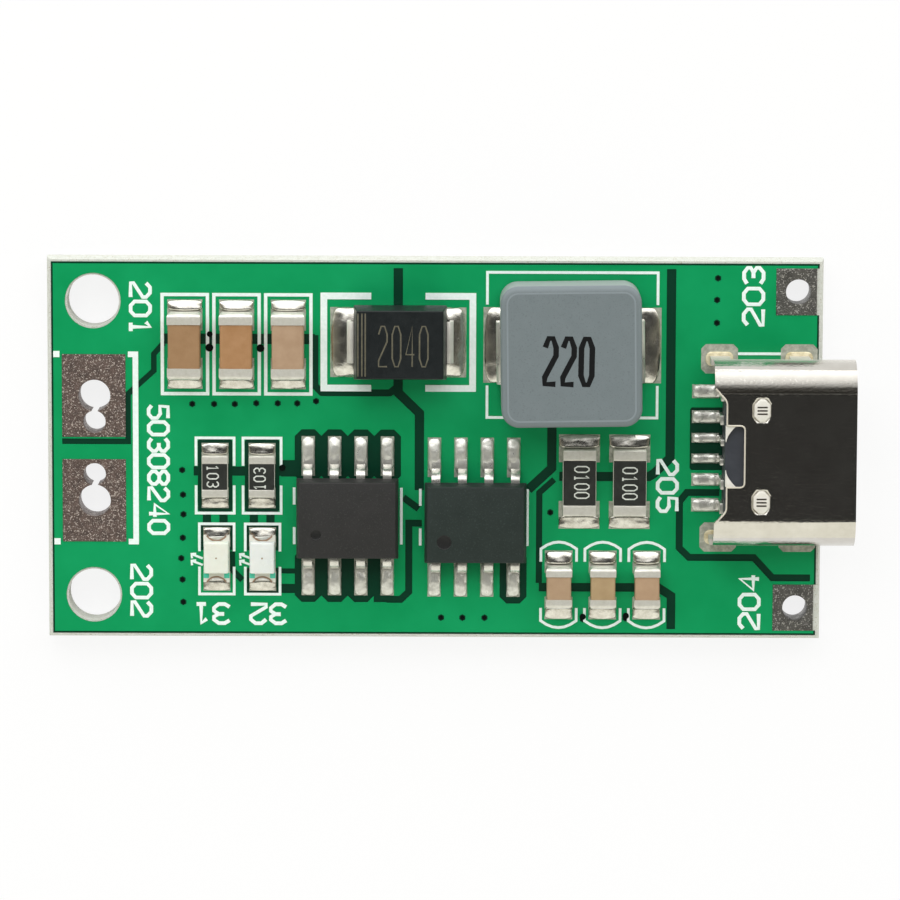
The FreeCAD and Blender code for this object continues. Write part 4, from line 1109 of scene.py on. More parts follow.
@dataclass
class CircuitBoard(SubAssembly):
    """The laminate, its masks, lands, pads and print."""

    surface: float = 1.6
    sunk: float = 1.57
    pad_round: float = 0.02
    digit_height: float = 1.12
    print_stroke: float = 0.19
    well_radius: float = 0.095
    well_rim: float = 0.02
    well_depth: float = 0.02
    well_floor: float = 0.7
    well_sides: int = 20
    well_limit: float = 0.4
    open_holes: tuple[tuple[float, float, float], ...] = (
        (-10.82, 4.88, 0.19), (-8.37, 4.86, 0.19), (-10.8, 5.53, 0.14), (-7.32, -0.92, 0.15),
        (7.17, -8.13, 0.15), (9.25, -8.08, 0.15))
    hole_lift: float = 0.016
    lamp_arrows: tuple[tuple[str, tuple[float, float]], ...] = (
        ("first_lamp_arrows", (-11.44, -5.42)), ("second_lamp_arrows", (-9.1, -5.42)))
    arrow_size: tuple[float, float] = (0.66, 0.7)
    arrow_stroke: float = 0.11
    labels: tuple[Label, ...] = (
        Label("battery_number", "201", (-14.12, 6.75), 2.64, Turn.DOWNWARD),
        Label("battery_return_number", "202", (-14.12, -6.93), 2.66, Turn.DOWNWARD),
        Label("row_number", "50308240", (-13.28, -1.03), 6.39, Turn.DOWNWARD),
        Label("first_lamp_number", "31", (-10.75, -8.04), 1.93, Turn.OVERHEAD),
        Label("second_lamp_number", "32", (-8.0, -8.04), 1.89, Turn.OVERHEAD),
        Label("sense_number", "205", (11.2, -1.74), 2.65, Turn.DOWNWARD),
        Label("input_return_number", "203", (15.25, 7.43), 2.94, Turn.UPWARD),
        Label("input_number", "204", (15.2, -7.38), 2.79, Turn.UPWARD),
    )

    def build(self) -> None:
        """Dresses the board's CAD nodes and adds the wells, the pads and the printed digits."""
        self.dress("circuit_board", LAMINATE)
        self.dress("solder_mask_top", GREEN_MASK)
        self.dress("solder_mask_bottom", MASK_BELOW)
        self.dress("silkscreen_outlines", WHITE_PRINT)
        self.dress("surface_lands", RING_TIN)
        self.dress("usb_slot_lands", RING_TIN)
        pads = {"battery_pad_positive": TINNED_PAD, "battery_pad_negative": TINNED_PAD,
                "input_pad_ground": WORN_PAD, "input_pad_positive": WORN_PAD}
        for node, finish in pads.items():
            self.refined(node, finish, self.pad_round)
        self.hand_over(self._wells(), WELL_SHADE)
        for label in self.labels:
            digits = Digits(label.text, label.middle, label.length, self.digit_height, self.surface,
                            label.turn, stroke=self.print_stroke)
            self.hand_over(digits.build(label.name), WHITE_PRINT)
        for name, middle in self.lamp_arrows:
            arrows = Digits(("arrows",), middle, *self.arrow_size, self.surface, stroke=self.arrow_stroke,
                            fill=1.0)
            self.hand_over(arrows.build(name), WHITE_PRINT)

    def _wells(self) -> Shape:
        """Models the dark mouth of each small plated hole: one bowl, copied to each place."""
        spots = [(patch.middle.x, patch.middle.y, self.well_radius)
                 for patch in level_patches("solder_mask_top", self.sunk)
                 if max(patch.size.x, patch.size.y) < self.well_limit]
        floors = [self.sunk] * len(spots) + [self.surface + self.hole_lift] * len(self.open_holes)
        spots += self.open_holes
        first = Bench.cylinder("bowl", Vector((0, 0, self.well_depth / 2)), 1.0, self.well_depth,
                               self.well_sides)
        with Bench.editing(first, Pick.FACE, facing(Z)):
            bpy.ops.mesh.inset(thickness=self.well_rim / self.well_radius * MM)
            Bench.shift(0, 0, -self.well_depth * self.well_floor)
        Bench.smooth(first, angle=30)
        bowls = []
        for (x, y, radius), floor in zip(spots, floors):
            place = Matrix.Translation(Vector((x, y, floor)) * MM)
            bowls.append(Bench.copy(first, "bowl", place @ Matrix.Diagonal((radius, radius, 1, 1))))
        bpy.data.objects.remove(first)
        return Bench.join(bowls, "small_hole_wells")


@dataclass
class ChipCapacitor(SubAssembly):
    """A ceramic chip with a metal cup on each end."""

    node: str
    finish: Finish
    corner: float = 0.09
    cup_wall: float = 0.06
    cup_round: float = 0.15
    cup_waves: tuple[float, float] = (0.6, 0.025)

    def build(self) -> None:
        """Models the ceramic and the two cups."""
        core = node_extent(f"{self.node}_ceramic")
        body = Bench.block(f"{self.node}_block", core.low, core.high)
        Bench.soften(body, self.corner, segments=3)
        self.hand_over(body, self.finish, f"{self.node}_ceramic")
        caps = [self._cup(cap, core) for cap in node_solids(f"{self.node}_end_caps")]
        cups = Bench.join(caps, f"{self.node}_cups")
        self.hand_over(cups, END_METAL, f"{self.node}_end_caps")

    def _cup(self, cap: Extent, core: Extent) -> Shape:
        """Models one metal cup, open towards the ceramic."""
        side = 1 if cap.middle.y > core.middle.y else -1
        floor = cap.size.y - 2 * self.cup_wall
        cup = Bench.block("cup", cap.low, cap.high)
        with Bench.editing(cup, Pick.FACE, facing(Y, -side)):
            bpy.ops.mesh.inset(thickness=self.cup_wall * MM)
            Bench.pull(0, side * floor, 0)
        mouth = cap.end(Y, -side)
        with Bench.editing(cup, Pick.EDGE, lambda centre, along: abs(centre.y - mouth) > floor + NEAR):
            bpy.ops.mesh.bevel(offset=self.cup_round * MM, segments=3, affect="EDGES", clamp_overlap=True)
        Bench.modify(cup, "SUBSURF", subdivision_type="SIMPLE", levels=2, render_levels=2)
        Bench.wobble(cup, *self.cup_waves)
        Bench.smooth(cup, angle=60)
        return cup


@dataclass
class ChipResistor(SubAssembly):
    """A flat ceramic chip with folded metal ends and a dark coat with digits."""

    node: str
    text: str
    turn: Turn
    digit_size: tuple[float, float]
    digit_middle: tuple[float, float]
    stroke: float = 0.066
    fill: float = 0.66
    ink: float = 0.008
    corner: float = 0.03
    end_round: float = 0.042
    end_waves: tuple[float, float] = (0.5, 0.02)
    coat_taper: tuple[float, float] = (0.95, 0.97)
    coat_round: float = 0.015

    def build(self) -> None:
        """Models the base, the ends and the coat, and prints the digits."""
        base = node_extent(f"{self.node}_base")
        block = Bench.block(f"{self.node}_block", base.low, base.high)
        Bench.soften(block, self.corner)
        self.hand_over(block, ALUMINA, f"{self.node}_base")
        ends = [self._end(end) for end in node_solids(f"{self.node}_end_plating")]
        self.hand_over(Bench.join(ends, f"{self.node}_ends"), END_METAL, f"{self.node}_end_plating")
        extent = node_extent(f"{self.node}_overcoat")
        self.hand_over(self._coat(extent), OVERCOAT, f"{self.node}_overcoat")
        digits = Digits(self.text, self.digit_middle, *self.digit_size, extent.high.z - INK_SINK, self.turn,
                        stroke=self.stroke, fill=self.fill, ink=self.ink)
        self.hand_over(digits.build(f"{self.node}_digits"), PALE_INK)

    def _end(self, end: Extent) -> Shape:
        """Models one folded end."""
        piece = Bench.block("end", end.low, end.high)
        Bench.soften(piece, self.end_round, segments=3)
        Bench.modify(piece, "SUBSURF", subdivision_type="SIMPLE", levels=2, render_levels=2)
        Bench.wobble(piece, *self.end_waves)
        return piece

    def _coat(self, coat: Extent) -> Shape:
        """Models the coat, which thins out towards its rim."""
        piece = Bench.block(f"{self.node}_coat", coat.low, coat.high)
        with Bench.editing(piece, Pick.FACE, facing(Z)):
            Bench.spread(*self.coat_taper, 1, coat.middle)
        Bench.soften(piece, self.coat_round)
        return piece


@dataclass
class Lamp(SubAssembly):
    """An indicator lamp: notched base, cast lens, plated notches and two marks."""

    node: str
    lens: Finish
    notch_radius: float = 0.55
    notch_outset: float = 0.27
    lining: float = 0.07
    corner: float = 0.06
    upper_reach: float = 0.2
    lower_reach: float = 0.1
    upper_margin: float = 0.27
    lower_margin: float = 0.47
    mark_size: tuple[float, float] = (0.26, 0.28)
    mark_lap: float = 0.02
    mark_thickness: float = 0.05
    mark_round: float = 0.02
    die_radius: float = 0.045
    die_round: float = 0.003
    base_lap: float = 0.01
    base_round: float = 0.015
    lining_rise: float = 0.012
    lining_round: float = 0.008
    fill_drop: float = 0.02
    fill_round: float = 0.04
    lens_taper: tuple[float, float] = (0.92, 0.95)
    overcut: float = 0.1
    round_sides: int = 40

    def build(self) -> None:
        """Models the base, the linings, the lens, the marks and the die under the lens."""
        ends = node_extent(f"{self.node}_end_plating")
        lens = node_extent(f"{self.node}_lens")
        base = Extent(ends.low - Vector((0, self.lower_reach, 0)),
                      Vector((ends.high.x, ends.high.y + self.upper_reach, lens.low.z + self.base_lap)))
        self.hand_over(self._base(base), LAMP_BASE, f"{self.node}_base")
        linings = [self._lining(base, side) for side in (-1, 1)]
        self.hand_over(Bench.join(linings, f"{self.node}_linings"), NOTCH_LINING, f"{self.node}_end_plating")
        fills = [self._fill(base, side) for side in (-1, 1)]
        self.hand_over(Bench.join(fills, f"{self.node}_notch_fills"), PIN_SOLDER)
        low = Vector((lens.low.x, base.low.y + self.lower_margin, lens.low.z))
        high = Vector((lens.high.x, base.high.y - self.upper_margin, lens.high.z))
        self.hand_over(self._lens(Extent(low, high)), self.lens, f"{self.node}_lens")
        self.hand_over(self._marks(base, low.y), LAMP_MARK)
        self.hand_over(self._die((low + high) / 2, high.z), LAMP_DIE)

    def _disc(self, name: str, middle: Vector, radius: float, low: float, high: float) -> Shape:
        """Adds an upright cylinder between two heights."""
        place = Vector((middle.x, middle.y, (low + high) / 2))
        return Bench.cylinder(name, place, radius, high - low, self.round_sides)

    def _die(self, middle: Vector, level: float) -> Shape:
        """Models the die that shows in the middle of the lens."""
        die = self._disc(f"{self.node}_die", middle, self.die_radius, level - FILM, level + FILM)
        Bench.soften(die, self.die_round)
        return die

    def _notch_middle(self, base: Extent, side: int) -> Vector:
        """Gives the centre of the notch's round, which lies outside the base's end."""
        return Vector((base.middle.x, base.end(Y, side) + side * self.notch_outset, 0))

    def _notch(self, base: Extent, side: int, radius: float) -> Shape:
        """Adds the cylinder that stands in the notch of one end."""
        return self._disc("notch", self._notch_middle(base, side), radius, base.low.z - self.overcut,
                          base.high.z + self.overcut)

    @staticmethod
    def _trim(piece: Shape, base: Extent, side: int) -> None:
        """Cuts away what of a piece stands out past the base's end."""
        with Bench.editing(piece, Pick.FACE, everywhere):
            bpy.ops.mesh.bisect(plane_co=(0, base.end(Y, side) * MM, 0), plane_no=(0, side, 0),
                                clear_outer=True, use_fill=True)

    def _fill(self, base: Extent, side: int) -> Shape:
        """Models the solder that fills one notch."""
        piece = self._disc("fill", self._notch_middle(base, side), self.notch_radius - self.lining / 2,
                           base.low.z, base.high.z - self.fill_drop)
        self._trim(piece, base, side)
        Bench.soften(piece, self.fill_round)
        return piece

    def _base(self, base: Extent) -> Shape:
        """Models the base with a round notch in each end."""
        piece = Bench.block(f"{self.node}_board", base.low, base.high)
        for side in (-1, 1):
            Bench.carve(piece, self._notch(base, side, self.notch_radius))
        Bench.soften(piece, self.base_round)
        return piece

    def _lining(self, base: Extent, side: int) -> Shape:
        """Models the plated lining of one notch."""
        piece = self._disc("lining", self._notch_middle(base, side), self.notch_radius + self.lining / 2,
                           base.low.z, base.high.z + self.lining_rise)
        Bench.carve(piece, self._notch(base, side, self.notch_radius - self.lining / 2))
        self._trim(piece, base, side)
        Bench.soften(piece, self.lining_round)
        return piece

    def _lens(self, extent: Extent) -> Shape:
        """Models the lens, which narrows a little upwards."""
        piece = Bench.block(f"{self.node}_cast", extent.low, extent.high)
        with Bench.editing(piece, Pick.FACE, facing(Z)):
            Bench.spread(*self.lens_taper, 1, extent.middle)
        Bench.soften(piece, self.corner, segments=3)
        return piece

    def _marks(self, base: Extent, lens_end: float) -> Shape:
        """Models the two coloured marks on the base beside the lens."""
        marks = []
        for side in (-1, 1):
            middle = Vector((base.middle.x + side * (base.size.x - self.mark_size[0]) / 2,
                             lens_end - self.mark_size[1] / 2 + self.mark_lap, base.high.z))
            half = Vector((*self.mark_size, self.mark_thickness)) / 2
            mark = Bench.block("mark", middle - half, middle + half)
            Bench.soften(mark, self.mark_round)
            marks.append(mark)
        return Bench.join(marks, f"{self.node}_marks")


@dataclass
class BentSheet:
    """A strip of sheet metal bent along a path of moves, all in millimetres."""

    start: Vector
    width: float
    first: Vector
    moves: tuple[Vector, ...]
    thickness: float
    bend: float
    flip: bool = False
    edge_share: float = 0.15

    def build(self, name: str) -> Shape:
        """Models the strip: a flat stretch, edges pulled on, bends rounded, then made thick.

        Args:
            name: The piece's name.

        Returns:
            The bent strip.
        """
        half = Vector((self.width / 2, 0, 0))
        bpy.ops.object.select_all(action="DESELECT")
        bpy.ops.mesh.primitive_plane_add(size=1, location=(0, 0, 0))
        piece = bpy.context.active_object
        piece.name = name
        ends = (self.start - half, self.start + half, self.start + half + self.first,
                self.start - half + self.first)
        order = sorted(piece.data.vertices, key=lambda corner: math.atan2(corner.co.y, corner.co.x))
        for corner, place in zip(order, ends):
            corner.co = place * MM
        tip = self.start + self.first
        bends = []
        for move in self.moves:
            reach = tip.copy()
            with Bench.editing(piece, Pick.EDGE, lambda centre, along: (centre - reach).length < NEAR):
                Bench.pull(*move)
            bends.append(reach)
            tip = tip + move
        with Bench.editing(piece, Pick.EDGE,
                           lambda centre, along: any((centre - bend).length < NEAR for bend in bends)):
            bpy.ops.mesh.bevel(offset=self.bend * MM, segments=4, affect="EDGES")
        Bench.modify(piece, "SOLIDIFY", thickness=self.thickness * MM, offset=-1 if self.flip else 1,
                     use_even_offset=True)
        with Bench.editing(piece, Pick.FACE, everywhere):
            bpy.ops.mesh.normals_make_consistent(inside=False)
        Bench.soften(piece, self.thickness * self.edge_share, angle=50)
        return piece


@dataclass
class EightPinChip(SubAssembly):
    """A moulded chip with a round index dimple and eight gull-wing leads."""

    node: str
    finish: Finish
    dimple_radius: float
    dimple_offset: tuple[float, float]
    taper: float = 0.13
    corner: float = 0.05
    dimple_depth: float = 0.09
    dimple_round: float = 0.03
    dimple_sides: int = 48
    tool_height: float = 1.0
    shaded_share: float = 0.9
    sheet: float = 0.2
    foot: float = 0.62
    slope: float = 0.2
    bend: float = 0.13

    def build(self) -> None:
        """Models the body and the leads."""
        extent = node_extent(f"{self.node}_body")
        self.hand_over(self._body(extent), self.finish, f"{self.node}_body")
        leads = [self._lead(lead, extent) for lead in node_solids(f"{self.node}_leads")]
        self.hand_over(Bench.join(leads, f"{self.node}_pins"), TINNED_LEAD, f"{self.node}_leads")

    def _body(self, extent: Extent) -> Shape:
        """Models the body: it tapers both ways from its parting line."""
        body = Bench.block(f"{self.node}_case", extent.low, extent.high)
        with Bench.editing(body, Pick.EDGE, running(Z)):
            bpy.ops.mesh.subdivide(number_cuts=1)
        size = extent.size
        shares = ((size.x - 2 * self.taper) / size.x, (size.y - 2 * self.taper) / size.y)
        for side in (-1, 1):
            with Bench.editing(body, Pick.FACE, facing(Z, side)):
                Bench.spread(*shares, 1, extent.middle)
        Bench.modify(body, "BEVEL", width=self.corner * MM, segments=3, limit_method="ANGLE",
                     angle_limit=math.radians(30))
        floor = extent.high.z - self.dimple_depth
        place = extent.middle + Vector((*self.dimple_offset, 0))
        place.z = floor + self.tool_height / 2
        tool = Bench.cylinder("dimple", place, self.dimple_radius, self.tool_height, self.dimple_sides)
        Bench.modify(tool, "BEVEL", width=self.dimple_round * MM, segments=3, limit_method="ANGLE")
        Bench.carve(body, tool)
        Bench.smooth(body, angle=35)
        self.paint(body, self.finish)
        ceiling = floor + self.dimple_depth * self.shaded_share
        self.tint(body, DIMPLE_SHADE, lambda centre, normal: floor - NEAR < centre.z < ceiling
                  and (centre - place).xy.length < self.dimple_radius)
        return body

    def _lead(self, extent: Extent, body: Extent) -> Shape:
        """Models one gull-wing lead from the box of its CAD solid."""
        side = 1 if extent.middle.y > body.middle.y else -1
        shoulder = extent.size.y - self.foot - self.slope
        drop = extent.size.z - self.sheet
        start = Vector((extent.middle.x, extent.end(Y, -side), extent.high.z - self.sheet))
        strip = BentSheet(start, extent.size.x, Vector((0, side * shoulder, 0)),
                          (Vector((0, side * self.slope, -drop)), Vector((0, side * self.foot, 0))),
                          self.sheet, self.bend, flip=side < 0)
        return strip.build("pin")


@dataclass
class Inductor(SubAssembly):
    """The pressed powder inductor with its flat leads and printed digits."""

    length: float = 6.7
    width: float = 6.75
    turn: float = 0.8
    corner: float = 0.85
    edge: float = 0.32
    edge_profile: float = 0.6
    highlight_line: float = 0.08
    lead_round: float = 0.03
    digit_middle: tuple[float, float] = (6.34, 4.6)
    digit_size: tuple[float, float] = (2.5, 2.45)
    stroke: float = 0.27
    fill: float = 0.6
    ink: float = 0.01

    def build(self) -> None:
        """Models the body and refines the leads."""
        extent = node_extent("inductor_core")
        half = Vector((self.length / 2, self.width / 2, 0))
        flat_middle = Vector((extent.middle.x, extent.middle.y, 0))
        low = flat_middle - half + Vector((0, 0, extent.low.z))
        high = flat_middle + half + Vector((0, 0, extent.high.z))
        body = Bench.block("inductor_case", low, high)
        with Bench.editing(body, Pick.EDGE, running(Z)):
            bpy.ops.mesh.bevel(offset=self.corner * MM, segments=10, affect="EDGES")
        self.paint(body, POWDER)
        # The thin line at the top edge gets the paler finish, a painted highlight where the rounded edge
        # catches light.
        body.data.materials.append(EDGE_HIGHLIGHT.material())
        with Bench.editing(body, Pick.EDGE, from_height(extent.high.z)):
            bpy.ops.mesh.bevel(offset=self.edge * MM, segments=3, affect="EDGES", profile=self.edge_profile)
        with Bench.editing(body, Pick.EDGE, from_height(extent.high.z)):
            bpy.ops.mesh.bevel(offset=self.highlight_line / 2 * MM, segments=1, affect="EDGES",
                               material=len(body.data.materials) - 1)
        with Bench.editing(body, Pick.FACE, everywhere):
            bpy.ops.transform.rotate(value=-math.radians(self.turn), orient_axis="Z",
                                     center_override=flat_middle * MM)
        Bench.smooth(body, angle=50)
        Bench.modify(body, "WEIGHTED_NORMAL", keep_sharp=True)
        self.hand_over(body, POWDER, "inductor_core")
        self.refined("inductor_terminals", TINNED_LEAD, self.lead_round)
        digits = Digits("220", self.digit_middle, *self.digit_size, extent.high.z - INK_SINK, Turn.LEVEL,
                        -self.turn, self.stroke, self.fill, self.ink)
        self.hand_over(digits.build("inductor_digits"), DARK_INK)


@dataclass
class Diode(SubAssembly):
    """The diode with its bent leads, its marked end and laser digits."""

    taper: float = 0.16
    corner: float = 0.05
    stripes: tuple[float, ...] = (-3.66, -3.47, -3.31)
    stripe_width: float = 0.07
    stripe_inset: float = 0.12
    stripe_round: float = 0.003
    lead_round: float = 0.04
    digit_middle: tuple[float, float] = (-1.5, 5.2)
    digit_size: tuple[float, float] = (2.42, 2.0)
    stroke: float = 0.075
    fill: float = 0.62
    ink: float = 0.008

    def build(self) -> None:
        """Refines the body and the leads and cuts the marks."""
        extent = node_extent("diode_body")
        self.refined("diode_body", DIODE_RESIN, self.corner, segments=3)
        self.refined("diode_leads", SATIN_LEAD, self.lead_round)
        lines = []
        reach = extent.size.y / 2 - self.taper - self.stripe_inset
        half = Vector((self.stripe_width / 2, reach, FILM))
        for x in self.stripes:
            middle = Vector((x, extent.middle.y, extent.high.z))
            line = Bench.block("stripe", middle - half, middle + half)
            Bench.soften(line, self.stripe_round)
            lines.append(line)
        self.hand_over(Bench.join(lines, "diode_stripes"), LASER_LINE)
        digits = Digits("2040", self.digit_middle, *self.digit_size, extent.high.z - INK_SINK,
                        stroke=self.stroke, fill=self.fill, ink=self.ink)
        self.hand_over(digits.build("diode_digits"), LASER_LINE)


@dataclass
class Socket(SubAssembly):
    """The power socket: folded shell, moulded body, tongue plate and contacts."""

    notch: tuple[float, float] = (13.82, 1.46)
    lip: tuple[float, float] = (0.5, 0.78)
    lip_rise: tuple[float, float] = (4.3, 4.68)
    lip_stations: int = 6
    lip_curve: float = 1.7
    lip_tip: float = 0.06
    lip_round: float = 0.03
    rear_outline: tuple[tuple[float, float, float], ...] = (
        (13.33, 3.25, 0.0), (13.88, 2.64, 0.2), (13.88, 1.48, 0.04), (14.73, 1.48, 0.24))
    rim: float = 0.075
    rim_rise: float = 0.012
    insulator_round: float = 0.03
    contact_round: float = 0.015
    gold_start: float = 14.8
    press_middle: tuple[float, float] = (15.55, 2.2)
    press_size: tuple[float, float] = (0.78, 1.1)
    press_corner: float = 0.27
    press_depth: float = 0.13
    press_foot: float = 0.02
    press_drop: float = 0.03
    press_inset: float = 0.1
    press_dome: float = 0.02
    press_round: float = 0.03
    slit_size: tuple[float, float, float] = (0.48, 0.075, 0.02)
    slit_pitch: float = 0.16
    slit_drop: float = 0.012
    slit_round: float = 0.008

    def build(self) -> None:
        """Refines the socket's CAD pieces and adds the pressed spots and the lips of the notch."""
        shell = node_extent("usb_shell")
        middle_y = shell.middle.y
        self._shell(shell)
        self.refined("usb_insulator", SOCKET_PLASTIC, self.insulator_round)
        self._contacts()
        self.dress("usb_midplate", SHELL_STEEL)
        lips = [self._lip(middle_y, side) for side in (-1, 1)]
        self.hand_over(Bench.join(lips, "notch_lips"), PRESSED_STEEL)
        for name, side in (("lower", -1), ("upper", 1)):
            middle = Vector((self.press_middle[0], middle_y + side * self.press_middle[1], shell.high.z))
            self.hand_over(self._pressed_spot(middle, f"{name}_pressed_spot"), PRESSED_STEEL)
            self.hand_over(self._slits(middle, f"{name}_spot_slits"), SLIT_SHADE)

    def _shell(self, shell: Extent) -> None:
        """Refines the folded shell and lays a narrow pale rim along its cut rear edge: the cut edge's own
        colour with a painted highlight.
        """
        piece = Bench.merged_copy("usb_shell", "usb_shell_refined")
        with Bench.editing(piece, Pick.CORNER, from_height(shell.high.z)):
            Bench.shift(0, 0, -self.rim_rise)
        Bench.smooth(piece, angle=35)
        Bench.modify(piece, "WEIGHTED_NORMAL", keep_sharp=True)
        self.hand_over(piece, SHELL_STEEL, "usb_shell")
        half, other_half = ([(Vector((x, shell.middle.y + side * y, 0)), radius)
                             for x, y, radius in self.rear_outline] for side in (1, -1))
        outline = rounded_path(half + other_half[::-1])
        rim = Bench.strokes("shell_rear_rim", [outline], self.rim, self.rim_rise)
        rim.data.transform(Matrix.Translation(Vector((0, 0, shell.high.z - self.rim_rise)) * MM))
        self.hand_over(rim, CUT_EDGE_AND_HIGHLIGHT)

    def _contacts(self) -> None:
        """Refines the contacts: tinned feet, and gilded blades further in."""
        piece = Bench.merged_copy("usb_contacts", "usb_contacts_refined")
        with Bench.editing(piece, Pick.FACE, everywhere):
            bpy.ops.mesh.bisect(plane_co=(self.gold_start * MM, 0, 0), plane_no=(1, 0, 0))
        Bench.soften(piece, self.contact_round)
        self.paint(piece, CONTACT_TIN)
        self.tint(piece, GOLD, lambda centre, normal: centre.x > self.gold_start)
        self.hand_over(piece, CONTACT_TIN, "usb_contacts")

    def _lip(self, middle_y: float, side: int) -> Shape:
        """Models one folded lip, which narrows in a curve along the notch's open side."""
        far = middle_y + side * self.notch[1]
        near = far - side * self.lip[1]
        low = Vector((self.notch[0], min(near, far), self.lip_rise[0]))
        high = Vector((self.notch[0] + self.lip[0], max(near, far), self.lip_rise[1]))
        piece = Bench.block("lip", low, high)
        with Bench.editing(piece, Pick.EDGE, running(Y)):
            bpy.ops.mesh.subdivide(number_cuts=self.lip_stations - 1)
        for station in range(self.lip_stations + 1):
            share = station / self.lip_stations
            reach = far + (near - far) * share
            left = (1 - share) ** self.lip_curve * (1 - self.lip_tip) + self.lip_tip
            with Bench.editing(piece, Pick.CORNER, lambda centre, normal: abs(centre.y - reach) < NEAR
                               and centre.x > high.x - NEAR):
                Bench.shift((left - 1) * self.lip[0], 0, 0)
        Bench.soften(piece, self.lip_round, angle=50)
        return piece

    def _pressed_spot(self, middle: Vector, name: str) -> Shape:
        """Models one pressed eight-sided spot, slightly domed, in the dimple of the shell."""
        half = Vector((*self.press_size, 0)) / 2
        low = middle - half - Vector((0, 0, self.press_depth + self.press_foot))
        high = middle + half - Vector((0, 0, self.press_drop))
        piece = Bench.block(name, low, high)
        with Bench.editing(piece, Pick.EDGE, running(Z)):
            bpy.ops.mesh.bevel(offset=self.press_corner * MM, segments=1, affect="EDGES")
        with Bench.editing(piece, Pick.FACE, facing(Z)):
            bpy.ops.mesh.inset(thickness=self.press_inset * MM)
        with Bench.editing(piece, Pick.FACE, lambda centre, normal: normal.z > MOSTLY
                           and abs(centre.x - middle.x) < NEAR and abs(centre.y - middle.y) < NEAR):
            Bench.shift(0, 0, self.press_dome)
        Bench.soften(piece, self.press_round)
        return piece

    def _slits(self, middle: Vector, name: str) -> Shape:
        """Models the three narrow slits in the middle of a pressed spot."""
        slits = []
        for step in (-1, 0, 1):
            half = Vector(self.slit_size) / 2
            place = middle + Vector((0, step * self.slit_pitch, -self.slit_drop))
            slit = Bench.block("slit", place - half, place + half)
            Bench.soften(slit, self.slit_round)
            slits.append(slit)
        return Bench.join(slits, name)


@dataclass(frozen=True)
class Profile:
    """How solder rises and narrows along an axis.

    The heights are shares of the full height and the widths shares of the land's width, at
    equal steps along the axis, from the land's rim inwards where the heap has a side.
    """

    heights: tuple[float, ...]
    widths: tuple[float, ...]

    def with_rim(self, side: int) -> "Profile":
        """Gives the profile with its rim at the axis's high end for 1, at its low end for -1."""
        return Profile(self.heights[::-1], self.widths[::-1]) if side > 0 else self


TERMINAL_WIDTHS = (0.96, 0.94, 0.9, 0.88, 0.86)
# At chip ends the solder reaches a share, given first, of its CAD solid's height.
CHIP_ENDS = {
    "capacitor_solder": (0.42, Profile((0.3, 0.62, 0.8, 0.95), (0.97, 0.95, 0.92, 0.9))),
    "resistor_solder": (0.62, Profile((0.22, 0.5, 0.62, 0.85), (0.98, 0.95, 0.92, 0.9))),
    "led_solder": (0.9, Profile((0.3, 0.6, 0.8, 1.0), (0.98, 0.92, 0.9, 0.9))),
}
TERMINALS = {
    "diode_solder": Profile((0.25, 0.6, 0.75, 0.6, 0.35), TERMINAL_WIDTHS),
    "inductor_solder": Profile((0.25, 0.6, 0.85, 1.0, 1.0), TERMINAL_WIDTHS),
}
CHIP_PIN = Profile((0.3, 0.8, 1.0, 0.7, 0.45), (0.96, 0.9, 0.86, 0.98, 0.74))
SOCKET_CONTACT = Profile((0.55, 1.0, 0.4, 0.95, 0.8), (0.95, 0.85, 0.5, 0.85, 0.9))


@dataclass
class Heap:
    """Solder heaped over a land, along Y or along X; waves are their size and their depth."""

    low: Vector
    high: Vector
    axis: int
    profile: Profile
    waves: tuple[float, float] = (0.45, 0.04)

    def build(self) -> Shape:
        """Models the heap: a block cut across, its top brought to the heights and rounded.

        Returns:
            The heap, with its base true to its land.
        """
        piece = Bench.block("heap", self.low, self.high)
        stations = len(self.profile.heights)
        with Bench.editing(piece, Pick.EDGE, running(self.axis)):
            bpy.ops.mesh.subdivide(number_cuts=stations - 2)
        size = self.high - self.low
        middle = (self.low + self.high) / 2
        for index, (height, width) in enumerate(zip(self.profile.heights, self.profile.widths)):
            reach = self.low[self.axis] + size[self.axis] * index / (stations - 1)
            with Bench.editing(piece, Pick.CORNER, lambda centre, normal: centre.z > self.high.z - NEAR
                               and abs(centre[self.axis] - reach) < NEAR):
                shares = (1, width) if self.axis == X else (width, 1)
                Bench.spread(*shares, 1, middle)
                Bench.shift(0, 0, -size.z * (1 - height))
        with Bench.editing(piece, Pick.EDGE, lambda centre, along: centre.z < self.low.z + NEAR):
            bpy.ops.transform.edge_crease(value=1)
        Bench.modify(piece, "SUBSURF", levels=3, render_levels=3)
        Bench.wobble(piece, *self.waves)
        Bench.smooth(piece, angle=180)
        return piece


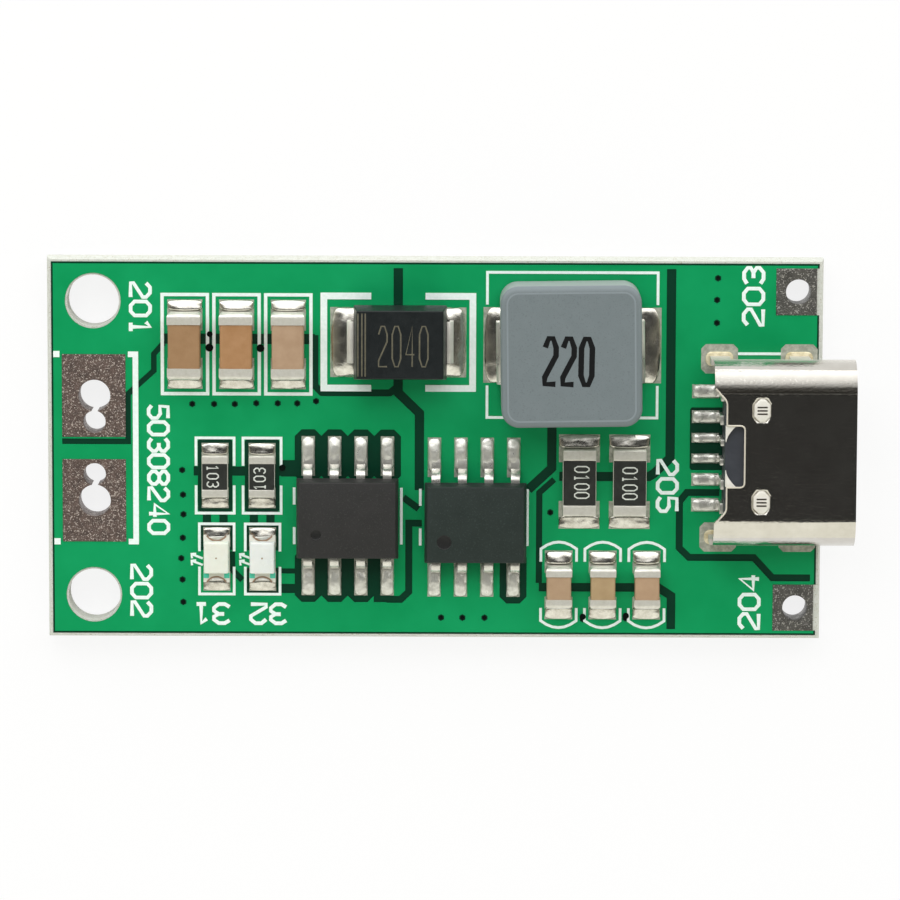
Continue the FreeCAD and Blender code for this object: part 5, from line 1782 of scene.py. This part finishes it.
@dataclass
class SolderWork(SubAssembly):
    """All solder: at chip ends, over the feet of leads and in the socket's slots."""

    surface: float = 1.6
    pin_height: float = 0.27
    pin_inset: float = 0.12
    pin_row: float = 3.0
    contact_height: float = 0.24
    fine_waves: tuple[float, float] = (0.35, 0.05)
    broad_waves: tuple[float, float] = (0.7, 0.08)
    slot_depth: float = 0.1
    fill_rise: float = 0.08
    fill_margin: float = 0.04
    fill_corner: float = 0.28
    fill_round: float = 0.8
    lands: list[Extent] = field(default_factory=list)

    def build(self) -> None:
        """Models each group of solder over the lands that its CAD solids lie on."""
        self.lands = node_solids("surface_lands")
        for node, (share, profile) in CHIP_ENDS.items():
            heaps = [self._chip_end(solder, share, profile) for solder in node_solids(node)]
            self.hand_over(Bench.join(heaps, f"{node}_heaps"), SOLDER, node)
        pins = [self._pin(solder) for solder in node_solids("chip_solder")]
        self.hand_over(Bench.join(pins, "chip_solder_heaps"), PIN_SOLDER, "chip_solder")
        for node, profile in TERMINALS.items():
            middle = node_extent(node).middle
            heaps = [self._terminal(solder, middle, profile) for solder in node_solids(node)]
            self.hand_over(Bench.join(heaps, f"{node}_heaps"), SOLDER, node)
        self._socket_solder()

    def _land(self, solder: Extent) -> Extent:
        """Finds the land that a piece of solder lies on."""
        return min(self.lands, key=lambda land: (land.middle - solder.middle).length)

    def _over(self, land: Extent, height: float) -> tuple[Vector, Vector]:
        """Gives the corners of the room over a land, up to a height over the board."""
        return Vector((*land.low.xy, self.surface)), Vector((*land.high.xy, self.surface + height))

    def _chip_end(self, solder: Extent, share: float, profile: Profile) -> Shape:
        """Models the solder between a chip's end and the rim of its land."""
        land = self._land(solder)
        outward = 1 if solder.middle.y > land.middle.y else -1
        low, high = self._over(land, solder.size.z * share)
        inner = low if outward > 0 else high
        inner.y = solder.end(Y, -outward)
        return Heap(low, high, Y, profile.with_rim(outward)).build()

    def _pin(self, solder: Extent) -> Shape:
        """Models the solder over a chip's pin: low at the rim, full at the toe, thin at the heel."""
        land = self._land(solder)
        chip_y = min((node_extent(f"{chip}_chip_body").middle.y for chip in ("charger", "converter")),
                     key=lambda y: abs(abs(y - land.middle.y) - self.pin_row))
        outward = 1 if land.middle.y > chip_y else -1
        low, high = self._over(land, self.pin_height)
        inner = low if outward > 0 else high
        inner.y += outward * land.size.y * self.pin_inset
        return Heap(low, high, Y, CHIP_PIN.with_rim(outward), self.fine_waves).build()

    def _terminal(self, solder: Extent, middle: Vector, profile: Profile) -> Shape:
        """Models the solder over the foot of a broad lead."""
        land = self._land(solder)
        outward = 1 if land.middle.x > middle.x else -1
        room = self._over(land, solder.size.z)
        return Heap(*room, X, profile.with_rim(outward), self.broad_waves).build()

    def _socket_solder(self) -> None:
        """Models the solder of the contacts and the older-looking fills of the slots."""
        pieces = []
        for solder in node_solids("usb_solder"):
            if solder.low.z < self.surface - self.slot_depth:
                pieces.append(self.paint(self._slot_fill(solder), AGED_SOLDER))
            else:
                room = self._over(self._land(solder), self.contact_height)
                heap = Heap(*room, X, SOCKET_CONTACT, self.fine_waves).build()
                pieces.append(self.paint(heap, PIN_SOLDER))
        self.hand_over(Bench.join(pieces, "usb_solder_heaps"), SOLDER, "usb_solder")

    def _slot_fill(self, solder: Extent) -> Shape:
        """Models the solder that fills one slot and stands a little over its ring."""
        margin = Vector((self.fill_margin, self.fill_margin, 0))
        high = Vector((*solder.high.xy, self.surface + self.fill_rise)) + margin
        piece = Bench.block("fill", solder.low - margin, high)
        with Bench.editing(piece, Pick.EDGE, running(Z)):
            bpy.ops.mesh.bevel(offset=self.fill_corner * MM, segments=5, affect="EDGES")
        with Bench.editing(piece, Pick.EDGE, from_height(high.z)):
            bpy.ops.mesh.bevel(offset=self.fill_rise * self.fill_round * MM, segments=3, affect="EDGES")
        Bench.smooth(piece, angle=60)
        return piece


@dataclass
class Studio:
    """The floor, the lamps, the surroundings and the camera.

    The surroundings are two long bright sides, at +Y and at -Y, with a dim stretch between
    them that runs overhead, as in a light box that is open at its ends. A reach is the
    stretch of the looking direction, from -1 to 1, over which one gives way to the next.
    """

    target: tuple[float, float, float] = (0.736, -0.037, 1.6)
    distance: float = 245.0
    tilt: float = 7.5
    roll: float = 0.2
    view_width: float = 43.27
    sensor: float = 36.0
    far_reach: tuple[float, float] = (0.2, 0.38)
    near_reach: tuple[float, float] = (-0.42, -0.27)
    overhead_reach: tuple[float, float] = (0.6, 0.95)
    far_side: Colour = (1.95, 1.95, 1.93)
    near_side: Colour = (1.12, 1.11, 1.0)
    overhead: Colour = (0.037, 0.037, 0.036)
    ends: Colour = (0.3, 0.29, 0.22)
    backdrop: float = 0.85
    white: Colour = (1.0, 1.0, 1.0)
    floor_size: float = 1200.0
    floor_tones: tuple[Colour, Colour] = ((0.93, 0.93, 0.93), (0.95, 0.95, 0.95))
    floor_waves: float = 40.0
    floor_roughness: float = 0.9
    floor_specular: float = 0.1
    lamp_place: tuple[float, float, float] = (-30, 120, 130)
    lamp_size: float = 60.0
    lamp_strength: float = 0.1

    def build(self) -> None:
        """Sets up the studio."""
        scene = bpy.context.scene
        scene.view_settings.view_transform = "Standard"
        self._floor()
        self._surroundings(scene)
        self._lamp()
        self._camera(scene)

    @staticmethod
    def _seen_directly(bench: NodeBench) -> Wire:
        """Gives a mask of the rays that show the backdrop: of the camera, of gloss and through glass."""
        path = bench.add("LightPath").outputs
        seen = bench.maths("MAXIMUM", path["Is Camera Ray"], path["Is Glossy Ray"])
        return bench.maths("MAXIMUM", seen, path["Is Transmission Ray"])

    def _floor(self) -> None:
        """Adds the plain white floor, which still takes the object's shadow."""
        bpy.ops.object.select_all(action="DESELECT")
        bpy.ops.mesh.primitive_plane_add(size=self.floor_size * MM, location=(0, 0, 0))
        floor = bpy.context.active_object
        floor.name = "studio_floor"
        material = bpy.data.materials.new("white_floor")
        material.use_nodes = True
        bench = NodeBench(material.node_tree)
        noise = bench.add("TexNoise", Scale=self.floor_waves)
        shader = material.node_tree.nodes["Principled BSDF"]
        bench.feed(self.floor_roughness, shader.inputs["Roughness"])
        bench.feed(self.floor_specular, shader.inputs["Specular IOR Level"])
        bench.feed(bench.mix(noise.outputs["Fac"], *self.floor_tones), shader.inputs["Base Color"])
        glow = bench.add("Emission", Strength=1.0)
        blend = bench.add("MixShader", Fac=bench.spread(self._seen_directly(bench), 0.0, self.backdrop))
        bench.feed(shader.outputs["BSDF"], blend.inputs[1])
        bench.feed(glow.outputs["Emission"], blend.inputs[2])
        bench.feed(blend.outputs["Shader"], material.node_tree.nodes["Material Output"].inputs["Surface"])
        floor.data.materials.append(material)

    def _surroundings(self, scene: bpy.types.Scene) -> None:
        """Sets the world: bright sides, a dim stretch overhead and dim ends."""
        world = bpy.data.worlds.new("studio")
        scene.world = world
        world.use_nodes = True
        bench = NodeBench(world.node_tree)
        looking = bench.add("TexCoord").outputs["Generated"]
        height = bench.spread(bench.part(looking, "Z"), 0.0, 1.0, *self.overhead_reach)
        across = bench.part(looking, "Y")
        far = bench.spread(across, 0.0, 1.0, *self.far_reach)
        near = bench.spread(across, 1.0, 0.0, *self.near_reach)
        dim = bench.mix(height, self.ends, self.overhead)
        around = bench.mix(near, bench.mix(far, dim, self.far_side), self.near_side)
        seen = bench.add("LightPath").outputs["Is Camera Ray"]
        background = world.node_tree.nodes["Background"]
        bench.feed(bench.mix(seen, around, self.white), background.inputs["Color"])

    def _lamp(self) -> None:
        """Adds one soft square lamp that looks at the board; its strength is a share of daylight."""
        place = Vector(self.lamp_place) * MM
        light = bpy.data.lights.new("far_lamp", "AREA")
        light.size = self.lamp_size * MM
        light.energy = self.lamp_strength * math.pi * place.length ** 2 * math.pi
        lamp = bpy.data.objects.new("far_lamp", light)
        bpy.context.scene.collection.objects.link(lamp)
        lamp.location = place
        lamp.rotation_euler = (-place).to_track_quat("-Z", "Y").to_euler()

    def _camera(self, scene: bpy.types.Scene) -> None:
        """Adds the camera, high over the board and leaning a little to the +Y side."""
        data = bpy.data.cameras.new("camera")
        data.sensor_width = self.sensor
        data.lens = self.sensor * self.distance / self.view_width
        data.clip_start = 0.01
        camera = bpy.data.objects.new("camera", data)
        scene.collection.objects.link(camera)
        tilt = math.radians(self.tilt)
        back = Vector((0, math.sin(tilt), math.cos(tilt)))
        right = Vector((math.cos(math.radians(self.roll)), math.sin(math.radians(self.roll)), 0))
        up = back.cross(right).normalized()
        right = up.cross(back).normalized()
        axes = Matrix((right, up, back)).transposed().to_4x4()
        place = Vector(self.target) * MM + back * self.distance * MM
        camera.matrix_world = Matrix.Translation(place) @ axes
        scene.camera = camera


def main() -> None:
    """Builds the board's looks and the studio."""
    logging.basicConfig(level=logging.INFO, format="%(name)s %(message)s")
    CircuitBoard().build()
    for row, finishes in CERAMICS.items():
        for number, finish in enumerate(finishes, start=1):
            ChipCapacitor(f"{row}_{number}", finish).build()
    ChipResistor("led_resistor_1", "103", Turn.DOWNWARD, (1.1, 0.6), (-10.65, -1.28)).build()
    ChipResistor("led_resistor_2", "103", Turn.UPWARD, (1.1, 0.6), (-8.4, -1.4)).build()
    ChipResistor("sense_resistor_1", "0100", Turn.DOWNWARD, (1.6, 0.75), (7.07, -1.5)).build()
    ChipResistor("sense_resistor_2", "0100", Turn.DOWNWARD, (1.6, 0.75), (9.38, -1.55)).build()
    Lamp("charging_led", LENS_IVORY).build()
    Lamp("full_led", LENS_WHITE).build()
    Inductor().build()
    Diode().build()
    EightPinChip("charger_chip", CHARGER_RESIN, 0.25, (-1.5, -0.7)).build()
    EightPinChip("converter_chip", CONVERTER_RESIN, 0.35, (-1.5, -0.85)).build()
    Socket().build()
    SolderWork().build()
    Studio().build()


if __name__ == "__main__":
    main()
